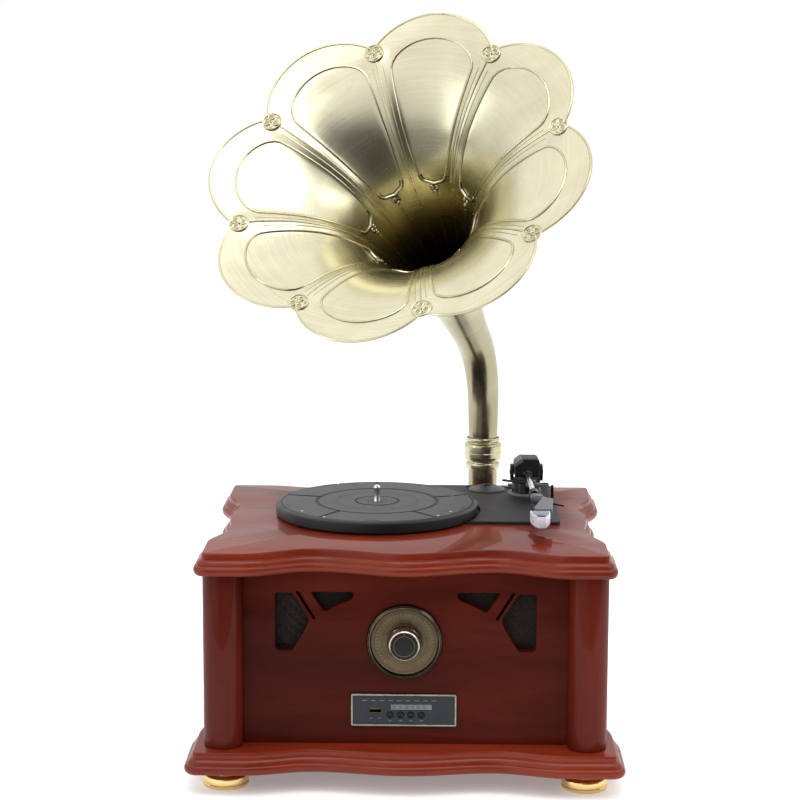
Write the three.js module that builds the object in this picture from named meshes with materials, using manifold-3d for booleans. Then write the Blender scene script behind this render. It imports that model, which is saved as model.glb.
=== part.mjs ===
// Horn gramophone with an electric record deck, in millimetres, +Z up.
// The origin is on the floor, under the centre of the cabinet. The front faces -Y.
import * as THREE from 'three';
import { mergeVertices } from 'three/addons/utils/BufferGeometryUtils.js';
import Module from 'manifold-3d';

const wasm = await Module();
wasm.setup();

// ---------------------------------------------------------------- driving dimensions
const BASE = { width: 408, depth: 349, bottom: 19.8, top: 40, hollow: 13, swell: 3 };
const TOP = { width: 389, depth: 330, bottom: 205.4, top: 226.4, hollow: 22, swell: 4 };
const POST = { radius: 18.25, spanX: 375, spanY: 316 };
const PANEL = { thickness: 12, setBack: 23.5 };
const FOOT = { radius: 24, insetX: 42, insetY: 40 };
const DIAL = { x: -0.8, z: 138.8, bezelRadius: 35.5, faceRadius: 31.2, knobRadius: 17.5, reach: 18.5 };
const DISPLAY = { x: -1.3, z: 73, width: 98.4, height: 31 };
const SPINDLE = { x: -31.2, y: 19.6, radius: 3.5, top: 255.4 };
const PLATTER = { radius: 100, top: 239.4, bottom: 228.2, ringRadius: 60 };
const DECK = { left: -76, right: 148, front: -28, slopeEnd: 31, back: 141, sheetTop: 227.4,
  frontTop: 229.6, backTop: 231.2 };
const PIVOT = { x: 120, y: 100, armHeight: 254 };
const ARM = { restAngle: 1.8, downAngle: 0.9, tube: 101, headStart: 113, headEnd: 180, guardReach: 27 };
const HORN = { x: 76.5, y: 172, mouthRadius: 161.5, tipRadius: 188, petals: 8, wall: 1.6 };
const HORN_AXIS = { turn: 20.16, rise: 39.26, mouthDistance: 327.9, cornerHeight: 358.8 };
const HORN_FLARE = { depth: 72.85, power: 0.7, neck: 250 };
const CLEARANCE = 0.3;

// ---------------------------------------------------------------- materials
const finish = (color, roughness, metalness) => new THREE.MeshStandardMaterial({ color, roughness, metalness });
const wood = finish(0x7a2412, 0.3, 0);
const brass = finish(0xd8b24a, 0.25, 1);
const antiqueBrass = finish(0xb9ad7e, 0.35, 1);
const bronze = finish(0x86775a, 0.4, 1);
const darkMetal = finish(0x2a2620, 0.35, 1);
const blackPlastic = finish(0x1c1c1f, 0.45, 0);
const greyPlastic = finish(0x77767c, 0.5, 0);
const whitePlastic = finish(0xe9e9f2, 0.4, 0);
const steel = finish(0xc9cbcc, 0.3, 1);
const slate = finish(0x2b333c, 0.4, 0);
const windowPlastic = finish(0x6d747a, 0.3, 0);
const mesh = finish(0x15120f, 0.8, 0);
const rubber = finish(0x141414, 0.9, 0);
const greenBoard = finish(0x24532f, 0.6, 0);

// ---------------------------------------------------------------- helpers
const rad = THREE.MathUtils.degToRad;

// A closed geometry as a manifold solid: only positions are kept, and shared vertices are merged.
function solid(geometry) {
  const bare = geometry.index ? geometry.toNonIndexed() : geometry.clone();
  for (const name of Object.keys(bare.attributes)) {
    if (name !== 'position') bare.deleteAttribute(name);
  }
  const merged = mergeVertices(bare, 1e-4);
  return new wasm.Manifold(new wasm.Mesh({
    numProp: 3,
    vertProperties: new Float32Array(merged.attributes.position.array),
    triVerts: new Uint32Array(merged.index.array),
  }));
}

function geometryOf(manifold) {
  const result = manifold.getMesh();
  const geometry = new THREE.BufferGeometry();
  geometry.setAttribute('position', new THREE.BufferAttribute(new Float32Array(result.vertProperties), 3));
  geometry.setIndex(new THREE.BufferAttribute(new Uint32Array(result.triVerts), 1));
  return geometry;
}

const join = (first, ...rest) => rest.reduce((sum, piece) => sum.add(piece), first);
const cut = (first, ...rest) => rest.reduce((left, piece) => left.subtract(piece), first);

function box(x0, x1, y0, y1, z0, z1) {
  const geometry = new THREE.BoxGeometry(x1 - x0, y1 - y0, z1 - z0);
  return solid(geometry.translate((x0 + x1) / 2, (y0 + y1) / 2, (z0 + z1) / 2));
}

// A round bar along Z.
function rod(radius, z0, z1, x = 0, y = 0, sides = 32) {
  const geometry = new THREE.CylinderGeometry(radius, radius, z1 - z0, sides);
  return solid(geometry.rotateX(Math.PI / 2).translate(x, y, (z0 + z1) / 2));
}

// A round bar along Y.
function rodY(radius, y0, y1, x = 0, z = 0, sides = 32) {
  const geometry = new THREE.CylinderGeometry(radius, radius, y1 - y0, sides);
  return solid(geometry.translate(x, (y0 + y1) / 2, z));
}

// A turned piece about Z, from [radius, height] points that run up its outside.
function turned(profile, sides = 40) {
  const points = profile.map(([radius, height]) => new THREE.Vector2(radius, height));
  return new THREE.LatheGeometry(points, sides).rotateX(Math.PI / 2);
}

// The same profile closed on itself, for a ring with a bore.
const turnedRing = (profile, sides = 40) => turned([...profile, profile[0]], sides);

function outlineShape(points) {
  return new THREE.Shape(points.map(([x, y]) => new THREE.Vector2(x, y)));
}

// An outline in the XZ plane, given depth along Y from y0 back to y1.
function upright(shape, y0, y1, curveSegments = 12) {
  const geometry = new THREE.ExtrudeGeometry(shape, { depth: y1 - y0, bevelEnabled: false, curveSegments });
  return geometry.rotateX(Math.PI / 2).translate(0, y1, 0);
}

// An outline in the XY plane, given height from z0 to z1.
function flat(shape, z0, z1, curveSegments = 12) {
  const geometry = new THREE.ExtrudeGeometry(shape, { depth: z1 - z0, bevelEnabled: false, curveSegments });
  return geometry.translate(0, 0, z0);
}

function roundedRectangle(width, height, radius, x = 0, y = 0) {
  const [hw, hh] = [width / 2, height / 2];
  const shape = new THREE.Shape();
  shape.moveTo(x - hw + radius, y - hh);
  shape.lineTo(x + hw - radius, y - hh);
  shape.absarc(x + hw - radius, y - hh + radius, radius, -Math.PI / 2, 0);
  shape.lineTo(x + hw, y + hh - radius);
  shape.absarc(x + hw - radius, y + hh - radius, radius, 0, Math.PI / 2);
  shape.lineTo(x - hw + radius, y + hh);
  shape.absarc(x - hw + radius, y + hh - radius, radius, Math.PI / 2, Math.PI);
  shape.lineTo(x - hw, y - hh + radius);
  shape.absarc(x - hw + radius, y - hh + radius, radius, Math.PI, 1.5 * Math.PI);
  return shape;
}

// A closed skin through rings of equal point count. It joins its last ring to its first, or is capped
// by a fan at both ends. Rings run counter-clockwise as seen from the last one.
function skin(rings, closed = false) {
  const count = rings[0].length;
  const positions = rings.flat().flatMap((point) => [point.x, point.y, point.z]);
  const index = [];
  const bands = closed ? rings.length : rings.length - 1;
  for (let band = 0; band < bands; band += 1) {
    const low = band * count;
    const high = ((band + 1) % rings.length) * count;
    for (let i = 0; i < count; i += 1) {
      const next = (i + 1) % count;
      index.push(low + i, low + next, high + next, low + i, high + next, high + i);
    }
  }
  if (!closed) {
    const last = (rings.length - 1) * count;
    const firstCentre = rings.length * count;
    for (const ring of [rings[0], rings.at(-1)]) {
      const centre = ring.reduce((sum, point) => sum.add(point), new THREE.Vector3()).divideScalar(count);
      positions.push(centre.x, centre.y, centre.z);
    }
    for (let i = 0; i < count; i += 1) {
      const next = (i + 1) % count;
      index.push(firstCentre, next, i, firstCentre + 1, last + i, last + next);
    }
  }
  const geometry = new THREE.BufferGeometry();
  geometry.setAttribute('position', new THREE.Float32BufferAttribute(positions, 3));
  geometry.setIndex(index);
  return geometry;
}

const root = new THREE.Group();

function place(parent, name, shape, material) {
  const geometry = shape instanceof wasm.Manifold ? geometryOf(shape) : shape;
  const piece = new THREE.Mesh(geometry, material);
  piece.name = name;
  parent.add(piece);
  return piece;
}

function group(parent, x, y, z) {
  const made = new THREE.Group();
  made.position.set(x, y, z);
  parent.add(made);
  return made;
}

// ---------------------------------------------------------------- moulded boards
// How far an edge stands back, at a distance along it from its middle: a hollow on each side
// of a slight swell, and nothing past the end.
function standBack(distance, hollowAt, end, hollow, swell) {
  const d = Math.abs(distance);
  if (d >= end) return 0;
  if (d >= hollowAt) return (hollow / 2) * (1 + Math.cos((Math.PI * (d - hollowAt)) / (end - hollowAt)));
  return swell + ((hollow - swell) / 2) * (1 - Math.cos((Math.PI * d) / hollowAt));
}

const BOARD = { corner: 13, frontHollowAt: 84, frontEnd: 150, sideHollowAt: 50, sideEnd: 108, backHollow: 13 };

// The serpentine plan outline, counter-clockwise, drawn in by an even margin.
function serpentine(board, margin) {
  const { corner } = BOARD;
  const [hw, hd] = [board.width / 2, board.depth / 2];
  const sideHollow = board.hollow * 0.7;
  const points = [];
  const edge = (steps, half, at) => {
    for (let i = 0; i <= steps; i += 1) points.push(at(-half + (2 * half * i) / steps));
  };
  const turn = (x, y, from) => {
    for (let i = 1; i < 4; i += 1) {
      const angle = from + (i * Math.PI) / 8;
      points.push(new THREE.Vector2(x + corner * Math.cos(angle), y + corner * Math.sin(angle)));
    }
  };
  const along = (s) => standBack(s, BOARD.frontHollowAt, BOARD.frontEnd, board.hollow, board.swell);
  const side = (s) => standBack(s, BOARD.sideHollowAt, BOARD.sideEnd, sideHollow, sideHollow * 0.75);
  const behind = (s) => standBack(s, BOARD.frontHollowAt, BOARD.frontEnd, BOARD.backHollow, board.swell);
  edge(22, hw - corner, (s) => new THREE.Vector2(s, -hd + along(s)));
  turn(hw - corner, -hd + corner, -Math.PI / 2);
  edge(14, hd - corner, (s) => new THREE.Vector2(hw - side(s), s));
  turn(hw - corner, hd - corner, 0);
  edge(22, hw - corner, (s) => new THREE.Vector2(-s, hd - behind(s)));
  turn(-hw + corner, hd - corner, Math.PI / 2);
  edge(14, hd - corner, (s) => new THREE.Vector2(-hw + side(s), -s));
  turn(-hw + corner, -hd + corner, Math.PI);
  return points.map((point, i) => {
    const before = points[(i + points.length - 1) % points.length];
    const after = points[(i + 1) % points.length];
    const inward = new THREE.Vector2(before.y - after.y, after.x - before.x).normalize();
    return point.clone().addScaledVector(inward, margin);
  });
}

// Edge sections as [margin, height above the board's underside over its thickness].
const TOP_EDGE = [[4, 0], [0.8, 0.12], [0, 0.3], [1.2, 0.44], [4.6, 0.58], [7.8, 0.8], [9, 1]];
const BASE_EDGE = [[4, 0], [0.8, 0.11], [0, 0.27], [1.2, 0.43], [5, 0.58], [8.4, 0.8], [9.5, 1]];

function mouldedBoard(board, section) {
  const thickness = board.top - board.bottom;
  return skin(section.map(([margin, height]) => serpentine(board, margin)
    .map((point) => new THREE.Vector3(point.x, point.y, board.bottom + height * thickness))));
}

place(root, 'base_moulding', mouldedBoard(BASE, BASE_EDGE), wood);

const wellMargin = 7;
const deckWell = box(DECK.left + wellMargin, DECK.right - wellMargin, DECK.front + wellMargin,
  DECK.back - wellMargin, TOP.bottom - 1, TOP.top + 1);
place(root, 'top_plate', cut(solid(mouldedBoard(TOP, TOP_EDGE)), deckWell), wood);

// ---------------------------------------------------------------- feet and corner posts
const postX = POST.spanX / 2 - POST.radius;
const postY = POST.spanY / 2 - POST.radius;
const corners = [['front_left', -1, -1], ['front_right', 1, -1], ['rear_left', -1, 1], ['rear_right', 1, 1]];

for (const [name, sideX, sideY] of corners) {
  const foot = turned([[0, 0], [FOOT.radius - 1, 0], [FOOT.radius, 1], [FOOT.radius, 10],
    [FOOT.radius - 4, 12.5], [FOOT.radius - 4, BASE.bottom], [0, BASE.bottom]], 24);
  const footMesh = place(root, `foot_${name}`, foot, brass);
  footMesh.position.set(sideX * (BASE.width / 2 - FOOT.insetX), sideY * (BASE.depth / 2 - FOOT.insetY), 0);
  const post = place(root, `post_${name}`, rod(POST.radius, BASE.top, TOP.bottom, 0, 0, 28), wood);
  post.position.set(sideX * postX, sideY * postY, 0);
}

// ---------------------------------------------------------------- panels
// Each panel fits round the posts with a hollowed end.
const postHoles = corners.map(([, sideX, sideY]) => rod(POST.radius + CLEARANCE, BASE.top - 1, TOP.bottom + 1,
  sideX * postX, sideY * postY, 28));
const faceY = POST.spanY / 2 - PANEL.setBack;
const faceX = POST.spanX / 2 - PANEL.setBack;
const panelTop = TOP.bottom;

// Speaker openings of the left side: a tall lobe, a slit and a wide lobe round a corner.
const SPEAKER_OPENINGS = [
  [[-121.3, 131.5], [-118.5, 129], [-106.5, 129], [-104.5, 130.5], [-97.3, 142.3], [-91.2, 153], [-89.4, 160],
    [-105, 184.5], [-121.3, 184.5]],
  [[-85.2, 158.2], [-83.6, 160.2], [-98.6, 185.6], [-102.4, 185.6]],
  [[-75.4, 165.6], [-66, 171], [-48.6, 178.6], [-47.8, 185.4], [-88.4, 185.4]],
];
const mirrored = (points) => points.map(([x, z]) => [-x, z]).reverse();
const openings = [...SPEAKER_OPENINGS, ...SPEAKER_OPENINGS.map(mirrored)];

const frontBlank = box(-postX, postX, -faceY, -faceY + PANEL.thickness, BASE.top, panelTop);
const displayHole = box(DISPLAY.x - DISPLAY.width / 2 + 3, DISPLAY.x + DISPLAY.width / 2 - 3, -faceY - 1,
  -faceY + PANEL.thickness + 1, DISPLAY.z - DISPLAY.height / 2 + 3, DISPLAY.z + DISPLAY.height / 2 - 3);
const knobHole = rodY(5.5, -faceY - 1, -faceY + PANEL.thickness + 1, DIAL.x, DIAL.z, 24);
const speakerHoles = openings.map((points) => solid(upright(outlineShape(points), -faceY - 1,
  -faceY + PANEL.thickness + 1)));
place(root, 'front_panel', cut(frontBlank, displayHole, knobHole, ...speakerHoles, ...postHoles), wood);

const PORTS = { x: -95, z: 110, width: 92, height: 46 };
const portHole = box(PORTS.x - PORTS.width / 2 + 5, PORTS.x + PORTS.width / 2 - 5, faceY - PANEL.thickness - 1,
  faceY + 1, PORTS.z - PORTS.height / 2 + 5, PORTS.z + PORTS.height / 2 - 5);
const rearBlank = box(-postX, postX, faceY - PANEL.thickness, faceY, BASE.top, panelTop);
place(root, 'rear_panel', cut(rearBlank, portHole, ...postHoles), wood);

for (const [name, side] of [['left_panel', -1], ['right_panel', 1]]) {
  const inner = faceX - PANEL.thickness;
  const ends = faceY - PANEL.thickness - CLEARANCE;
  const blank = box(Math.min(side * inner, side * faceX), Math.max(side * inner, side * faceX), -ends, ends,
    BASE.top, panelTop);
  place(root, name, cut(blank, ...postHoles), wood);
}

// ---------------------------------------------------------------- speakers
const insideFront = -faceY + PANEL.thickness;
for (const [name, side] of [['left', -1], ['right', 1]]) {
  const grille = place(root, `speaker_grille_${name}`, box(-42, 42, 0, 1.2, -32, 32), mesh);
  grille.position.set(side * 84.5, insideFront + CLEARANCE, 157);
  const basket = turned([[0, 4], [6, 4], [24, 13], [26, 13], [26, 0], [30, 0], [30, 15], [18, 29], [18, 38],
    [0, 38]], 20);
  const driver = place(root, `speaker_driver_${name}`, basket, darkMetal);
  driver.rotation.x = -Math.PI / 2;
  driver.position.set(side * 88, insideFront + CLEARANCE + 1.8, 156);
}

// ---------------------------------------------------------------- tuning dial and knob
const dial = group(root, DIAL.x, -faceY, DIAL.z);
dial.rotation.x = Math.PI / 2;
// In this group +Z points out of the front panel.
place(dial, 'dial_bezel', turnedRing([[DIAL.faceRadius + CLEARANCE, 0], [DIAL.bezelRadius, 0],
  [DIAL.bezelRadius, 2], [DIAL.bezelRadius - 1.6, 4.6], [DIAL.faceRadius + 1.2, 5.2],
  [DIAL.faceRadius + CLEARANCE, 4.4]], 36), darkMetal);
const faceRing = turnedRing([[5.5, 0], [DIAL.faceRadius, 0], [DIAL.faceRadius, 3], [5.5, 3]], 36);
place(dial, 'dial_face', faceRing, bronze);
const shaftTop = 13;
place(dial, 'tuning_knob', turned([[0, shaftTop + CLEARANCE], [3, shaftTop + CLEARANCE], [3, 3.6],
  [DIAL.knobRadius, 3.6], [DIAL.knobRadius, 7], [DIAL.knobRadius - 1.4, 9.5], [14.8, 11],
  [14.8, DIAL.reach - 1.2], [13.8, DIAL.reach], [0, DIAL.reach]], 28), darkMetal);
place(dial, 'knob_shaft', rod(2.7, -20, shaftTop, 0, 0, 20), steel);
place(dial, 'rotary_control', turnedRing([[3, -24], [11, -24], [11, -PANEL.thickness - CLEARANCE],
  [3, -PANEL.thickness - CLEARANCE]], 24), greyPlastic);

// ---------------------------------------------------------------- display panel
const display = group(root, DISPLAY.x, -faceY, DISPLAY.z);
const frameOutline = roundedRectangle(DISPLAY.width, DISPLAY.height, 1.5);
const frameInside = roundedRectangle(DISPLAY.width - 3.4, DISPLAY.height - 3.4, 0.8);
frameOutline.holes.push(new THREE.Path(frameInside.getPoints(3).reverse()));
place(display, 'display_frame', upright(frameOutline, -2.6, 0, 3), steel);

const [faceWidth, faceHeight] = [DISPLAY.width - 4, DISPLAY.height - 4];
const USB = { x: -26.5, z: -0.2, width: 12.2, height: 5.2 };
const WINDOW = { x: 7, z: 2.9, width: 38.5, height: 5.4 };
const BUTTON = { first: -12.7, pitch: 9.67, z: -4.5, radius: 2.9 };
const buttonX = (i) => BUTTON.first + i * BUTTON.pitch;
const panelBlank = box(-faceWidth / 2, faceWidth / 2, -1.9, 0, -faceHeight / 2, faceHeight / 2);
const usbHole = box(USB.x - USB.width / 2 - CLEARANCE, USB.x + USB.width / 2 + CLEARANCE, -3, 2,
  USB.z - USB.height / 2 - CLEARANCE, USB.z + USB.height / 2 + CLEARANCE);
const windowHole = box(WINDOW.x - WINDOW.width / 2 - CLEARANCE, WINDOW.x + WINDOW.width / 2 + CLEARANCE, -3, 2,
  WINDOW.z - WINDOW.height / 2 - CLEARANCE, WINDOW.z + WINDOW.height / 2 + CLEARANCE);
const buttonHoles = [0, 1, 2, 3].map((i) => rodY(BUTTON.radius + CLEARANCE, -3, 2, buttonX(i), BUTTON.z, 20));
place(display, 'display_face', cut(panelBlank, usbHole, windowHole, ...buttonHoles), slate);
place(display, 'display_window', box(WINDOW.x - WINDOW.width / 2, WINDOW.x + WINDOW.width / 2, -1.6, 0.6,
  WINDOW.z - WINDOW.height / 2, WINDOW.z + WINDOW.height / 2), windowPlastic);
for (let i = 0; i < 4; i += 1) {
  const button = turned([[0, -2.6], [BUTTON.radius, -2.6], [BUTTON.radius, 2.6], [BUTTON.radius - 0.5, 3.1],
    [0, 3.1]], 20);
  const buttonMesh = place(display, `button_${i + 1}`, button, blackPlastic);
  buttonMesh.rotation.x = Math.PI / 2;
  buttonMesh.position.set(buttonX(i), 0, BUTTON.z);
}
const socketShell = box(USB.x - USB.width / 2, USB.x + USB.width / 2, -1.7, 13, USB.z - USB.height / 2,
  USB.z + USB.height / 2);
const socketMouth = box(USB.x - USB.width / 2 + 0.6, USB.x + USB.width / 2 - 0.6, -3, 11,
  USB.z - USB.height / 2 + 0.6, USB.z + USB.height / 2 - 0.6);
const socketTongue = box(USB.x - USB.width / 2 + 1.4, USB.x + USB.width / 2 - 1.4, 0.5, 12,
  USB.z + 0.1, USB.z + 1.5);
place(display, 'usb_socket', join(cut(socketShell, socketMouth), socketTongue), steel);
place(display, 'control_board', box(-44, 44, 14, 15.6, -11, 11), greenBoard);

// ---------------------------------------------------------------- record deck
const deckOutline = [[DECK.front, TOP.top], [DECK.back, TOP.top], [DECK.back, DECK.backTop],
  [DECK.slopeEnd, DECK.backTop], [DECK.front, DECK.frontTop]];
const deckShape = outlineShape(deckOutline);
const deckBlank = new THREE.ExtrudeGeometry(deckShape, { depth: DECK.right - DECK.left, bevelEnabled: false })
  .rotateX(Math.PI / 2).rotateZ(Math.PI / 2).translate(DECK.left, 0, 0);
const platterWell = rod(PLATTER.radius + 2.5, DECK.sheetTop, DECK.backTop + 1, SPINDLE.x, SPINDLE.y, 64);
const PULLEY = { bearing: -20, distance: 70, radius: 6 };
const pulleyX = SPINDLE.x + PULLEY.distance * Math.cos(rad(PULLEY.bearing));
const pulleyY = SPINDLE.y + PULLEY.distance * Math.sin(rad(PULLEY.bearing));
const bearingHole = rod(8.3, TOP.top - 1, DECK.backTop + 1, SPINDLE.x, SPINDLE.y, 28);
const pulleyHole = rod(8.5, TOP.top - 1, DECK.backTop + 1, pulleyX, pulleyY, 28);
const LEVER = { x: 144.6, y: 60 };
const LIFT = { radius: 33, postAngle: -83, top: 250.4 };
const liftX = PIVOT.x + LIFT.radius * Math.cos(rad(LIFT.postAngle));
const liftY = PIVOT.y + LIFT.radius * Math.sin(rad(LIFT.postAngle));
const liftHole = rod(2.4, TOP.top - 1, DECK.backTop + 1, liftX, liftY, 12);
const selectorSlot = box(99, 117, 126.6, 131.4, TOP.top - 1, DECK.backTop + 1);
place(root, 'deck_plate', cut(solid(deckBlank), platterWell, bearingHole, pulleyHole, liftHole, selectorSlot),
  blackPlastic);

const turntable = group(root, SPINDLE.x, SPINDLE.y, 0);
const { ringRadius } = PLATTER;
place(turntable, 'platter', turnedRing([[3.8, 229.6], [12, 229.6], [12, 235.6], [ringRadius - 3, 235.6],
  [ringRadius - 3, 229.8], [ringRadius, 229.8], [ringRadius, 235.6], [96.5, 235.6], [96.5, PLATTER.bottom],
  [PLATTER.radius, PLATTER.bottom], [PLATTER.radius, 237.9], [97, PLATTER.top], [3.8, PLATTER.top]], 48),
blackPlastic);
place(turntable, 'spindle', turned([[0, 209], [3.5, 209], [3.5, SPINDLE.top - 2.6], [2.2, SPINDLE.top - 0.6],
  [0, SPINDLE.top]], 24), steel);
place(turntable, 'platter_bearing', turnedRing([[3.8, 206.5], [8, 206.5], [8, DECK.sheetTop],
  [11, DECK.sheetTop], [11, 229], [3.8, 229]], 20), steel);

const motor = group(root, pulleyX, pulleyY, 0);
place(motor, 'motor_pulley', turned([[0, 227.7], [1.5, 227.7], [1.5, 228.6], [PULLEY.radius + 1.2, 228.6],
  [PULLEY.radius + 1.2, 229.6], [PULLEY.radius, 229.9], [PULLEY.radius, 234.4], [PULLEY.radius + 1, 234.8],
  [PULLEY.radius + 1, 235.3], [0, 235.3]], 20), brass);
place(motor, 'motor', turned([[0, 200], [16, 200], [16, 225.8], [5, 225.8], [5, 227.4], [0, 227.4]]), steel);

// The belt runs round the platter's inner ring and the pulley, along their outer tangents.
function beltLoop(gap) {
  const [large, small] = [ringRadius + gap, PULLEY.radius + gap];
  const tilt = Math.acos((large - small) / PULLEY.distance);
  const loop = new THREE.Path();
  loop.absarc(0, 0, large, tilt, 2 * Math.PI - tilt);
  loop.absarc(PULLEY.distance, 0, small, -tilt, tilt);
  return loop.getPoints(20);
}
const beltGap = 0.8;
const beltOutline = new THREE.Shape(beltLoop(beltGap + 1));
beltOutline.holes.push(new THREE.Path(beltLoop(beltGap).reverse()));
const belt = place(root, 'drive_belt', flat(beltOutline, 230.3, 234), rubber);
belt.position.set(SPINDLE.x, SPINDLE.y, 0);
belt.rotation.z = rad(PULLEY.bearing);

const ADAPTER = { x: 80, y: 117, radius: 18.8 };
const adapter = place(root, 'adapter_45', turnedRing([[4, 0], [ADAPTER.radius, 0], [ADAPTER.radius, 1.2],
  [ADAPTER.radius - 3, 2.6], [8, 5], [4, 5]], 28), greyPlastic);
adapter.position.set(ADAPTER.x, ADAPTER.y, DECK.backTop);

// ---------------------------------------------------------------- tonearm
const pivot = group(root, PIVOT.x, PIVOT.y, 0);
const drumTop = 245;
place(pivot, 'tonearm_base', turned([[0, DECK.backTop], [16.5, DECK.backTop], [16.5, DECK.backTop + 2.4],
  [14.6, DECK.backTop + 4], [14.6, drumTop], [0, drumTop]], 28), blackPlastic);

// The turret turns on the drum, and the arm tips between the cheeks of its fork.
const turretTop = 247.4;
const armFrame = group(pivot, 0, 0, 0);
armFrame.rotation.z = rad(ARM.restAngle);
// In this group the arm points along -Y and its lift axis is X.
const turretDisc = rod(13.6, drumTop + 0.4, turretTop, 0, 0, 28);
const forkFoot = box(-16.6, 16.6, -7, 7, drumTop + 0.8, turretTop);
const forkLeft = box(-16.6, -13.4, -7, 7, drumTop + 1, 262);
const forkRight = box(13.4, 16.6, -7, 7, drumTop + 1, 262);
place(armFrame, 'tonearm_turret', join(turretDisc, forkFoot, forkLeft, forkRight), blackPlastic);

const arm = group(armFrame, 0, 0, PIVOT.armHeight);
const housingOutline = outlineShape([[-12.8, -3], [12.8, -3], [12.8, 13], [10.5, 15.6], [-6.5, 15.6],
  [-12.8, 11]]);
const housingBlock = solid(upright(housingOutline, -15, 12));
place(arm, 'tonearm_housing', cut(housingBlock, rodY(3.3, -16, -9, 0, 0, 20)), blackPlastic);

const tilted = group(arm, 0, 0, 0);
tilted.rotation.x = rad(ARM.downAngle);
place(tilted, 'tonearm_tube', rodY(2.5, -ARM.tube, -9.5, 0, 0, 20), steel);
place(tilted, 'arm_collar', cut(rodY(5, -ARM.headStart + CLEARANCE, -ARM.tube + 1, 0, 0, 20),
  rodY(2.8, -ARM.tube - 1, -ARM.tube + 2, 0, 0, 20)), blackPlastic);
const headOutline = outlineShape([[-4.5, -ARM.headStart], [-4.5, -126], [5.5, -131], [-4, -168],
  [-4, -ARM.headEnd], [11.8, -ARM.headEnd], [16.5, -134], [9, -128], [6.5, -ARM.headStart]]);
const fingerLift = outlineShape([[12, -146], [24, -158], [25.4, -156.6], [12, -142]]);
const headPlate = solid(flat(headOutline, -2.6, 2.6));
place(tilted, 'headshell', join(headPlate, solid(flat(fingerLift, -0.8, 0.8))), greyPlastic);
place(tilted, 'cartridge', join(box(-4, 9, -ARM.headEnd + 4, -ARM.headEnd + 50, -8.6, -2.9),
  box(-4.5, 5.5, -ARM.headEnd - 10, -ARM.headEnd + 6, -8.6, -4)), blackPlastic);

// The guard is a pointed scoop, open above and behind, that slips over the cartridge's nose.
const scoop = (halfWidth, back, tipReach, z0, z1) => solid(flat(outlineShape([[-halfWidth, back],
  [-halfWidth, -ARM.headEnd - 12], [-halfWidth * 0.42, -ARM.headEnd - tipReach],
  [halfWidth * 0.42, -ARM.headEnd - tipReach], [halfWidth, -ARM.headEnd - 12], [halfWidth, back]]), z0, z1));
const guardOuter = scoop(9.3, -ARM.headEnd - 0.4, ARM.guardReach, -10.4, 0.6);
const guardInner = scoop(7.5, -ARM.headEnd + 1, ARM.guardReach - 3, -9.2, 1.6);
place(tilted, 'stylus_guard', cut(guardOuter, guardInner), whitePlastic);

// ---------------------------------------------------------------- arm rest, cueing and speed selector
const rest = group(root, 137, 58, DECK.backTop);
const restTop = LIFT.top - DECK.backTop;
const restPost = box(-4, 4, -4.5, 4.5, 0, restTop);
const restArm = box(-19, 4, -4, 4, restTop - 3.4, restTop);
const restStop = box(-12, -9.4, -4, 4, restTop - 1, restTop + 3);
place(rest, 'arm_rest', join(restPost, restArm, restStop), greyPlastic);

// The cue lever tips about its round foot, just above the deck.
const leverFoot = 2.5;
const lever = group(root, LEVER.x, LEVER.y, DECK.backTop + leverFoot + CLEARANCE);
const leverHub = rodY(leverFoot, -1.4, 1.4, 0, 0, 20).rotate([0, 0, 90]);
place(lever, 'cue_lever', join(leverHub, box(-1.4, 1.4, -2.2, 2.2, 0, 14.2)), blackPlastic);

// The lift bar is a short arc under the tube, on a post that rises through the deck.
const liftArc = new THREE.Shape();
liftArc.absarc(0, 0, LIFT.radius + 2, rad(-138), rad(-80), false);
liftArc.absarc(0, 0, LIFT.radius - 2, rad(-80), rad(-138), true);
const liftPlatform = solid(flat(liftArc, LIFT.top - 1.8, LIFT.top, 10));
const liftPost = rod(2, 222, LIFT.top - 1, liftX - PIVOT.x, liftY - PIVOT.y, 12);
place(pivot, 'lift_bar', join(liftPlatform, liftPost), blackPlastic);
const selectorStem = box(102, 108, 127, 131, 224, 235.4);
const selectorSkirt = box(101.4, 108.6, 126.2, 131.8, 231.5, 232.6);
place(root, 'speed_selector', join(selectorStem, selectorSkirt), greyPlastic);

// ---------------------------------------------------------------- rear port plate
const ports = group(root, PORTS.x, faceY, PORTS.z);
const portPlate = box(-PORTS.width / 2, PORTS.width / 2, 0, 2, -PORTS.height / 2, PORTS.height / 2);
const inletHole = box(-37, -17, -3, 4, -7, 7);
const switchHole = box(-8.3, 8.3, -3, 4, -10.3, 10.3);
const lineSockets = [22, 36].map((x) => rodY(4.2, 0, 9, x, 0, 20));
const lineHoles = [22, 36].map((x) => rodY(1.9, -3, 10, x, 0, 16));
const inletCup = cut(box(-38.5, -15.5, -16, 0.5, -8.5, 8.5), box(-37, -17, -14, 4, -7, 7));
const plateBlank = join(portPlate, inletCup, ...lineSockets);
place(ports, 'rear_port_plate', cut(plateBlank, inletHole, switchHole, ...lineHoles), blackPlastic);
place(ports, 'power_switch', join(box(-7.9, 7.9, -12, 2.4, -9.9, 9.9), box(-6, 6, 0, 5.2, -8, 8)),
  blackPlastic);

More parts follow.
